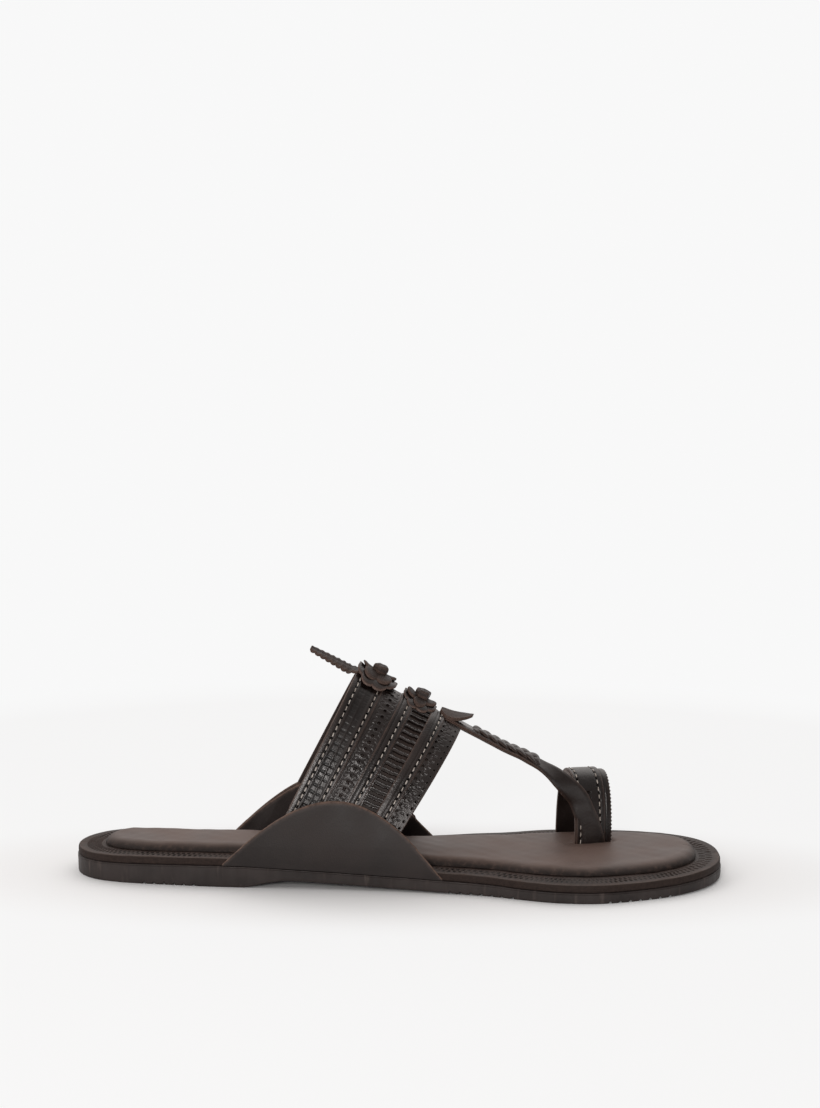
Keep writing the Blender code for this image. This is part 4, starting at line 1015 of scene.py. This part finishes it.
def strapPath(count):
    # a Catmull-Rom curve through the route's rows, at even steps of length, with its turned frame
    rows = [[xOf(a), b * halfBall, c * band["heightFront"], w, t] for a, b, c, w, t in strap["route"]]
    nearX = ringCentre[0] + math.tan(ring["skew"]) * ringHalf
    face = ringCentre[1] - ringHalf - ring["wall"] / 2 - strap["thin"] * 0.2
    top = padUnderside(nearX) + sole["padHeight"]
    for share, lean, width in strap["down"]:
        rows.append([nearX + lean, face, top + (ring["crest"] - top) * share, width, 1.0])
    rows.append([nearX, face, boardUnderside(nearX), strap["down"][-1][2], 1.0])
    rows = np.array(rows)
    ends = np.vstack([2 * rows[0] - rows[1], rows, 2 * rows[-1] - rows[-2]])
    t = np.linspace(0, 1, 40, endpoint=False)[:, None]
    fine = []
    for a, b, c, d in zip(ends[:-3], ends[1:-2], ends[2:-1], ends[3:]):
        curve = 2 * b + (c - a) * t + (2 * a - 5 * b + 4 * c - d) * t ** 2 + (3 * b - a - 3 * c + d) * t ** 3
        fine.append(0.5 * curve)
    fine = np.vstack(fine + [rows[-1:]])
    length = runLength(fine[:, :3])
    path = interpRows(np.linspace(0, length[-1], count), length, fine)
    run = unit(np.gradient(path[:, :3], axis=0))
    blend = smoothStep((np.linspace(0, 1, count) - 0.93) / 0.05)[:, None]
    run = unit(run * (1 - blend) + np.array([0, 0, -1.0]) * blend)
    sideways = np.broadcast_to([0.0, 1.0, 0.0], run.shape)
    forward = np.cross(sideways, run)
    forward = forward * np.where(forward[:, :1] < 0, -1, 1)
    quarter = path[:, 4:5] * math.pi / 2
    across = np.cos(quarter) * sideways + np.sin(quarter) * forward
    across = unit(across - run * np.sum(run * across, axis=1, keepdims=True))
    return path[:, :3], path[:, 3], across, np.cross(run, across)


def power(value, exponent):
    # a power that keeps the sign
    return np.sign(value) * np.abs(value) ** exponent


def makeStrap():
    count = 420
    middle, widths, across, outward = strapPath(count)
    share = np.linspace(0, 1, count)
    flat = smoothStep((share - 0.42) / 0.10)
    halfWide = strap["width"] * widths / 2
    halfThick = (strap["thick"] + (strap["thin"] - strap["thick"]) * flat) / 2
    # cross-section: two layers with a fine line between them, flat faces and rounded sides
    turn = np.linspace(0, 2 * math.pi, 56, endpoint=False)
    c, s = np.cos(turn), np.sin(turn)
    sideShape = power(c, 0.45)
    line = 1 - 0.055 * np.exp(-((s - 0.02) / 0.10) ** 2) * (np.abs(c) > 0.5)
    edgeDip = 0.16 * smoothStep((np.abs(sideShape) - 0.72) / 0.12) * (s > 0)
    a = halfWide[:, None] * sideShape * line
    b = halfThick[:, None] * power(s, 0.75) - edgeDip
    b = b + 0.05 * waves(share[:, None] * 160, a, seed=81, size=11)
    points = middle[:, None] + across[:, None] * a[..., None] + outward[:, None] * b[..., None]
    points[-1, :, 2] = boardUnderside(points[-1, 0, 0])
    marks = {
        "cutEdgeAndShade": 0.8 * smoothStep((np.abs(c) - 0.80) / 0.15),
        "rub": 0.35 * np.exp(-((np.abs(c) - 0.70) / 0.12) ** 2),
    }
    makeSweep("toeStrap", points, "bandLeather", ["upper"], marks)

    # plait: each of three strands goes aside by a sine and over by a sine of twice the angle
    at = np.linspace(strap["plaitStart"], strap["plaitEnd"], 190)
    spot, wide, up = (interpRows(at, share, table) for table in (middle, across, outward))
    halfWide, halfThick = np.interp(at, share, halfWide), np.interp(at, share, halfThick)
    ends = np.sqrt(smoothStep((at - at[0]) / 0.02) * smoothStep((at[-1] - at) / 0.03))
    turn = np.linspace(0, 2 * math.pi, 14, endpoint=False)
    c, s = np.cos(turn), np.sin(turn)
    thin = (0.35 + 0.65 * ends)[:, None]
    a = 2.0 * thin * power(c, 0.8)
    b = 0.85 * thin * power(s, 0.9)
    marks = {"cutEdgeAndShade": 0.5 * smoothStep((np.abs(c) - 0.85) / 0.15), "rub": 0.35 * smoothStep(s - 0.2)}
    for strand in range(3):
        angle = 2 * math.pi * (strap["plaitTurns"] * np.linspace(0, 1, len(at)) + strand / 3)
        aside = halfWide * 0.46 * np.sin(angle) * (0.25 + 0.75 * ends)
        over = halfThick + 0.10 + 0.44 * np.sin(2 * angle) - 0.9 * (1 - ends)
        line = spot + wide * aside[:, None] + up * over[:, None]
        run = unit(np.gradient(line, axis=0))
        rise = unit(up - run * np.sum(run * up, axis=1, keepdims=True))
        sidewards = np.cross(run, rise)
        points = line[:, None] + sidewards[:, None] * a[..., None] + rise[:, None] * b[..., None]
        makeSweep(f"plaitStrand{strand + 1}", points, "bandLeather", ["upper"], marks)


# ornaments on the crest: plates, petals, knobs and two leaves

ornament = {
    "rear": {"share": 0.175, "plate": 20.0, "petal": 17.0, "seed": 5, "turn": 0.25, "knobTurn": 0.35},
    "front": {"share": 0.585, "plate": 17.0, "petal": 15.0, "seed": 8, "turn": 0.9, "knobTurn": 0.8},
    "plateThick": 0.9, "petalThick": 0.9, "curl": 0.9, "knobWidth": 7.8, "knobHeight": 3.9,
    "knobSides": 5, "facetRoom": 0.25, "reach": 0.17, "tailThick": 1.2,
    "tail": {"length": 31.5, "root": 10.0, "tip": 4.0, "droop": 1.0, "teeth": 12, "notch": 0.62, "free": 0.28,
             "roll": 0.36},
    "leaf": {"share": 0.91, "length": 14.5, "width": 11.0, "thick": 1.6, "rise": 3.6, "pivot": 0.35,
             "roll": 0.20},
    "knob": (                        # share of the width, share of the height
        (0.90, 0.0), (0.955, 0.05), (1.0, 0.8 / 3), (1.0, 0.5), (0.985, 0.7), (0.955, 2.45 / 3), (0.90, 0.9),
        (0.80, 2.84 / 3), (0.62, 2.93 / 3), (0.42, 2.98 / 3), (0.2, 1.0), (0.03, 1.0),
    ),
}


def crestFrame(share, lift):
    # place and turn of a piece that lies on the crest: forwards, sideways and up
    tops = bandPoint(np.array([share - 0.02, share + 0.02]), np.zeros(2), bandTop)
    forward = unit(tops[1] - tops[0])
    up = unit(np.cross(forward, [0.0, 1.0, 0.0]))
    sideways = np.cross(up, forward)
    return tops.mean(0) + up * lift, forward, sideways, up


def crestFall(share):
    # how far the band falls away beside its crest, at the least under the piece
    reach = np.linspace(-26, 26, 209)
    shares = share + np.array([-1, 0, 1])[:, None] * ornament["reach"]
    line = bandPoint(shares, reach[None], bandTop)
    top = bandPoint(shares, np.zeros((1, 1)), bandTop)
    up = crestFrame(share, 0)[3]
    aside = line[..., 1] - top[..., 1]
    fall = -((line - top) @ up)
    sample = np.linspace(-16, 16, 129)
    least = np.min([np.interp(sample, a, f) for a, f in zip(aside, fall)], axis=0)
    return lambda distance: np.interp(distance, sample, np.maximum(least, 0))


def onCrest(local, share, lift):
    origin, forward, sideways, up = crestFrame(share, lift)
    return origin + local[..., :1] * forward + local[..., 1:2] * sideways + local[..., 2:] * up


def lobedRadius(turn, diameter, lobes, notch, phase=0.0):
    return diameter / 2 - notch * (1 - np.abs(np.sin((turn + phase) * lobes / 2)) ** 0.7)


def makeDisc(name, share, lift, radius, thick, rise, paintName, node, wear=0.35):
    # rings of points grow from the middle; the rim is rounded and the back is the same rings again
    turn = np.linspace(0, 2 * math.pi, 120, endpoint=False)
    shares = np.concatenate([[0.02], np.linspace(0.1, 0.93, 13), [0.965, 0.985, 0.997, 1.0]])
    rim = (np.concatenate([np.zeros(14), [0.05, 0.13, 0.24, 0.42]]) * thick)[:, None]
    R, T = np.meshgrid(shares, turn, indexing="ij")
    far = R * radius(turn)
    x, y = far * np.cos(T), far * np.sin(T)
    height = rise(R, T) - crestFall(share)(y)
    upper = np.stack([x, y, height + thick - rim], -1)
    lower = np.stack([x, y, height + rim * 0.6], -1)[::-1]
    points = onCrest(np.concatenate([upper, lower]), share, lift)
    edgeAndShadeMask = smoothStep((shares - 0.955) / 0.03)
    rub = wear * np.exp(-((shares - 0.93) / 0.05) ** 2)
    makeSweep(name, points, paintName, [node],
              {"cutEdgeAndShade": np.concatenate([edgeAndShadeMask, edgeAndShadeMask[::-1]])[:, None], "rub": np.concatenate([rub, 0 * rub])[:, None]})


def makeKnob(name, share, lift, turned, node):
    # a folded button: a rounded polygon, straight sides, a low crown with folds to its corners
    sides = ornament["knobSides"]
    turn = np.linspace(0, 2 * math.pi, 96, endpoint=False)
    corner = (turn + turned) % (2 * math.pi / sides) - math.pi / sides
    polygon = math.cos(math.pi / sides) / np.cos(corner)
    edge = ornament["knobWidth"] / 2 / 1.04 / (1 / polygon ** 14 + 1 / 1.14 ** 14) ** (1 / 14)
    out, up = (np.array(ornament["knob"])[:, k:k + 1] for k in (0, 1))
    up = up * ornament["knobHeight"]
    crown = smoothStep((out - 0.12) / 0.3) * smoothStep((up - 1.6) / 0.6)
    fold = -0.28 * np.exp(-(corner / 0.07) ** 2) * crown
    fold = fold + 0.22 * np.cos(turn - 0.7) * smoothStep((up - 1.2) / 1.2)
    radius = edge * out * (1 - 0.035 * np.exp(-((up - 1.05) / 0.16) ** 2))
    points = onCrest(np.stack([radius * np.cos(turn), radius * np.sin(turn), up + fold], -1), share, lift)
    marks = {"rub": 0.5 * np.exp(-((out - 0.93) / 0.05) ** 2) * (up > 1.5), "cutEdgeAndShade": 0.75 * (up < 1.3)}
    makeSweep(name, points, "leafLeather", [node], marks, 50)


def makeRosettes():
    for where in ("rear", "front"):
        facts = ornament[where]
        share = facts["share"]
        tilt = np.random.default_rng(facts["seed"]).uniform(-0.35, 0.5, 5)
        lift = sole["room"] + ornament["facetRoom"]
        if where == "rear":
            lift += ornament["tailThick"] + sole["room"]

        def plateRise(R, T):
            # scallops sag between their lobes, and the rear rim curls up
            back, near = np.clip(-np.cos(T), 0, 1), np.clip(-np.sin(T), 0, 1)
            curl = (1.4 * back ** 3 - 0.9 * near) * R ** 3
            return 0.16 * np.sin(3 * T) * R ** 2 + curl - 0.2 * R ** 6

        def petalRise(R, T):
            petal = ((T + facts["turn"]) / (2 * math.pi / 5)).astype(int) % 5
            lobe = np.abs(np.sin((T + facts["turn"]) * 2.5))
            back, near = np.clip(-np.cos(T), 0, 1), np.clip(-np.sin(T), 0, 1)
            own = ornament["curl"] * (0.3 + back - 1.1 * near) * R ** 2 * (1 + tilt[petal] * lobe)
            crease = -0.30 * (1 - lobe) ** 3 * smoothStep((R - 0.3) / 0.3)
            return own + crease + 0.2 * np.exp(-((R - 0.86) / 0.10) ** 2) * lobe

        makeDisc(f"plate{where.title()}", share, lift, lambda turn: lobedRadius(turn, facts["plate"], 8, 1.2),
                 ornament["plateThick"], plateRise, "bandLeather", f"rosette_{where}_plate")
        lift += ornament["plateThick"] + sole["room"]
        makeDisc(f"petals{where.title()}", share, lift,
                 lambda turn: lobedRadius(turn, facts["petal"], 5, 2.6, facts["turn"]),
                 ornament["petalThick"], petalRise, "leafLeather", f"rosette_{where}_petals", 0.5)
        makeKnob(f"knob{where.title()}", share, lift, facts["knobTurn"], f"rosette_{where}_knob")


def makeLeaf(name, node, share, lift, place, half, thick, bent, droop, roll, vein, ribs=None):
    # rows along the crest; each row bends with the band's fall by its share, and its edges are rounded
    across = np.sin(np.linspace(-math.pi / 2, math.pi / 2, 31))
    half = half[:, None]
    y = across * half
    x = np.broadcast_to(place[:, None], y.shape)
    z = -crestFall(share)(y) * bent[:, None] - droop[:, None]
    z = z + roll[:, None] * (y - half)
    near = (1 - np.abs(across)) * half
    drop = edgeDrop(near, math.inf, min(thick * 0.42, 0.55))
    body = -vein * np.exp(-(y / 0.5) ** 2)
    if ribs:
        body = body + ribs(x, y)
    upper = np.stack([x, y, z + thick - drop + body], -1)
    lower = np.stack([x, y, z + drop * 0.8], -1)[:, ::-1]
    points = onCrest(bothFaces(upper, lower), share, lift)
    edgeAndShadeMask = 1 - smoothStep((near - 0.1) / 0.4)
    rub = 0.45 * np.exp(-((near - 0.6) / 0.5) ** 2)
    makeSweep(name, points, "leafLeather", [node],
              {"cutEdgeAndShade": bothFaces(edgeAndShadeMask), "rub": bothFaces(rub, 0 * rub)})


def makeLeaves():
    # tail: a taper from root to tip, with round teeth along both edges, drooping to its tip
    tail = ornament["tail"]
    s = np.linspace(1, 0, 300)
    half = (tail["root"] + (tail["tip"] - tail["root"]) * s ** 1.2) / 2
    half = half - tail["notch"] * (1 - np.abs(np.sin(math.pi * tail["teeth"] * s)) ** 0.7)
    half = half * (np.sqrt(np.clip((1 - s) / 0.03, 0, 1)) * 0.35 + 0.65)
    free = smoothStep((s - tail["free"]) / (1 - tail["free"]))

    def toothRibs(x, y):
        wave = np.cos(2 * math.pi * tail["teeth"] / tail["length"] * x)
        return 0.12 * wave * smoothStep((np.abs(y) - 1.2) / 0.8)

    makeLeaf("tailLeaf", "tail_leaf", ornament["rear"]["share"], sole["room"], -tail["length"] * s, half,
             ornament["tailThick"], 1 - 0.6 * free, tail["droop"] * free,
             tail["roll"] * smoothStep((s - 0.22) / 0.2), 0.22, toothRibs)
    # front leaf: half width is the root of a sine of the place, its tip turns up a little
    leaf = ornament["leaf"]
    s = np.linspace(0.02, 0.98, 120)
    half = np.maximum(leaf["width"] / 2 * np.sin(math.pi * s ** 0.8) ** 0.75, 0.8)
    lip = 0.4 * smoothStep((s - 0.85) / 0.15)
    even = np.ones(len(s))
    makeLeaf("frontLeaf", "front_leaf", leaf["share"], sole["room"] + strap["thick"] / 2,
             leaf["length"] * (s - 0.5), half, leaf["thick"], 0.6 * even,
             leaf["rise"] * (leaf["pivot"] - s) - lip, leaf["roll"] * even, 0.15)


# make everything

makeOutsole()
makeBoard()
makePad()
print("sole, board and pad made")
makeBand()
print("instep band made")
makeFlaps()
makeRing()
makeStrap()
print("flaps, ring and strap made")
makeRosettes()
makeLeaves()
print("ornaments made")


# floor, light and camera

stage = {                            # studio light from the front, the back and above
    "floor": (0.88, 0.895, 0.905), "floorHalf": 9.0, "pale": 0.94, "fade": (0.20, 0.50),
    "glow": 0.80, "oval": (1 / 0.150, 1 / 0.058, 1.0), "ovalFade": (0.8, 1.7),
    "dim": 0.15, "bright": 0.95, "overhead": 0.30, "behind": (-0.45, 0.75), "above": (0.15, 1.0),
    "tint": (1.0, 0.955, 0.93), "aim": (0.0, 0.0, 0.03),
    "lights": {
        "keyLight": {"place": (-0.20, -1.18, 0.44), "size": 0.26, "power": 5.2},
        "sideLight": {"place": (-0.85, -0.55, 0.60), "size": 0.50, "power": 1.6},
        "backLight": {"place": (0.10, 0.70, 1.20), "size": 1.3, "power": 3.4},
    },
}


def makeFloor():
    half = stage["floorHalf"]
    mesh = bpy.data.meshes.new("paleFloor")
    corners = [(-half, -half, 0), (half, -half, 0), (half, half, 0), (-half, half, 0)]
    mesh.from_pydata(corners, [], [(0, 1, 2, 3)])
    floor = bpy.data.objects.new("paleFloor", mesh)
    bpy.context.scene.collection.objects.link(floor)
    paint, tree, shader = newPaint("paleFloorPaint")
    feed(tree, shader["Base Color"], stage["floor"])
    feed(tree, shader["Roughness"], 0.9)
    feed(tree, shader["Specular IOR Level"], 0.1)
    # away from the sandal the floor turns into the same plain tone as the backdrop
    place = addPlace(tree)
    far = addRange(tree, addLength(tree, place), *stage["fade"], 0.0, 1.0)
    # close to the sole the floor takes its shadow; near counts an oval around the footprint
    oval = addNode(tree, "Mapping", {"Vector": place, "Scale": stage["oval"]})["Vector"]
    near = addRange(tree, addLength(tree, oval), *stage["ovalFade"], 0.0, stage["glow"])
    glow = addNode(tree, "Emission", {"Color": (stage["pale"],) * 3})["Emission"]
    lit = tree.nodes["Principled BSDF"].outputs["BSDF"]
    mix = addNode(tree, "MixShader", {0: addMath(tree, "MAXIMUM", near, far), 1: lit, 2: glow})
    feed(tree, tree.nodes["Material Output"].inputs["Surface"], mix["Shader"])
    mesh.materials.append(paint)


def makeStudio():
    # the backdrop is plain to the camera; as light, the studio is bright behind and above, dim in front
    world = bpy.data.worlds.new("studioWorld")
    world.use_nodes = True
    tree = world.node_tree
    way = addNode(tree, "SeparateXYZ", {0: addNode(tree, "TexCoord")["Generated"]})
    behind = addRange(tree, way["Y"], *stage["behind"], stage["dim"], stage["bright"])
    above = addRange(tree, way["Z"], *stage["above"], 0.0, stage["overhead"])
    both = addMath(tree, "ADD", behind, above)
    light = addNode(tree, "VectorMath", {0: stage["tint"], "Scale": both}, operation="SCALE")["Vector"]
    toCamera = addNode(tree, "LightPath")["Is Camera Ray"]
    seen = addMix(tree, toCamera, light, (stage["pale"],) * 3)
    feed(tree, tree.nodes["Background"].inputs["Color"], seen)
    feed(tree, tree.nodes["Background"].inputs["Strength"], 1.0)
    bpy.context.scene.world = world
    for name, facts in stage["lights"].items():
        light = bpy.data.lights.new(name, "AREA")
        light.color, light.size, light.energy = stage["tint"], facts["size"], facts["power"]
        lamp = bpy.data.objects.new(name, light)
        lamp.location = facts["place"]
        aim = Vector(stage["aim"]) - Vector(facts["place"])
        lamp.rotation_euler = aim.to_track_quat("-Z", "Y").to_euler()
        bpy.context.scene.collection.objects.link(lamp)
    bpy.context.scene.view_settings.view_transform = "Standard"


view = {
    "yaw": math.radians(1.0), "elevation": math.radians(15.8), "roll": math.radians(0.2), "distance": 0.842,
    "pixelsPerMetre": 2229, "aim": (0.00075, 0.00485, 0.0), "aimPixel": (400, 868.9), "frame": (820, 1108),
    "sensor": 36.0,
}


def makeCamera():
    yaw, tilt, roll = view["yaw"], view["elevation"], view["roll"]
    c, s = math.cos(yaw), math.sin(yaw)
    forward = Vector((-s * math.cos(tilt), c * math.cos(tilt), -math.sin(tilt)))
    right = Vector((c, s, 0))
    up = right.cross(forward)
    c, s = math.cos(roll), math.sin(roll)
    right, up = right * c + up * s, up * c - right * s
    width, height = view["frame"]
    lens = bpy.data.cameras.new("photoCamera")
    lens.sensor_fit = "VERTICAL"
    lens.sensor_height = view["sensor"]
    lens.lens = view["pixelsPerMetre"] * view["distance"] * view["sensor"] / height
    lens.shift_x = -(view["aimPixel"][0] - width / 2) / height
    lens.shift_y = (view["aimPixel"][1] - height / 2) / height
    camera = bpy.data.objects.new("photoCamera", lens)
    place = Vector(view["aim"]) - forward * view["distance"]
    camera.matrix_world = Matrix.Translation(place) @ Matrix((right, up, -forward)).transposed().to_4x4()
    bpy.context.scene.collection.objects.link(camera)
    bpy.context.scene.camera = camera


makeFloor()
makeStudio()
makeCamera()
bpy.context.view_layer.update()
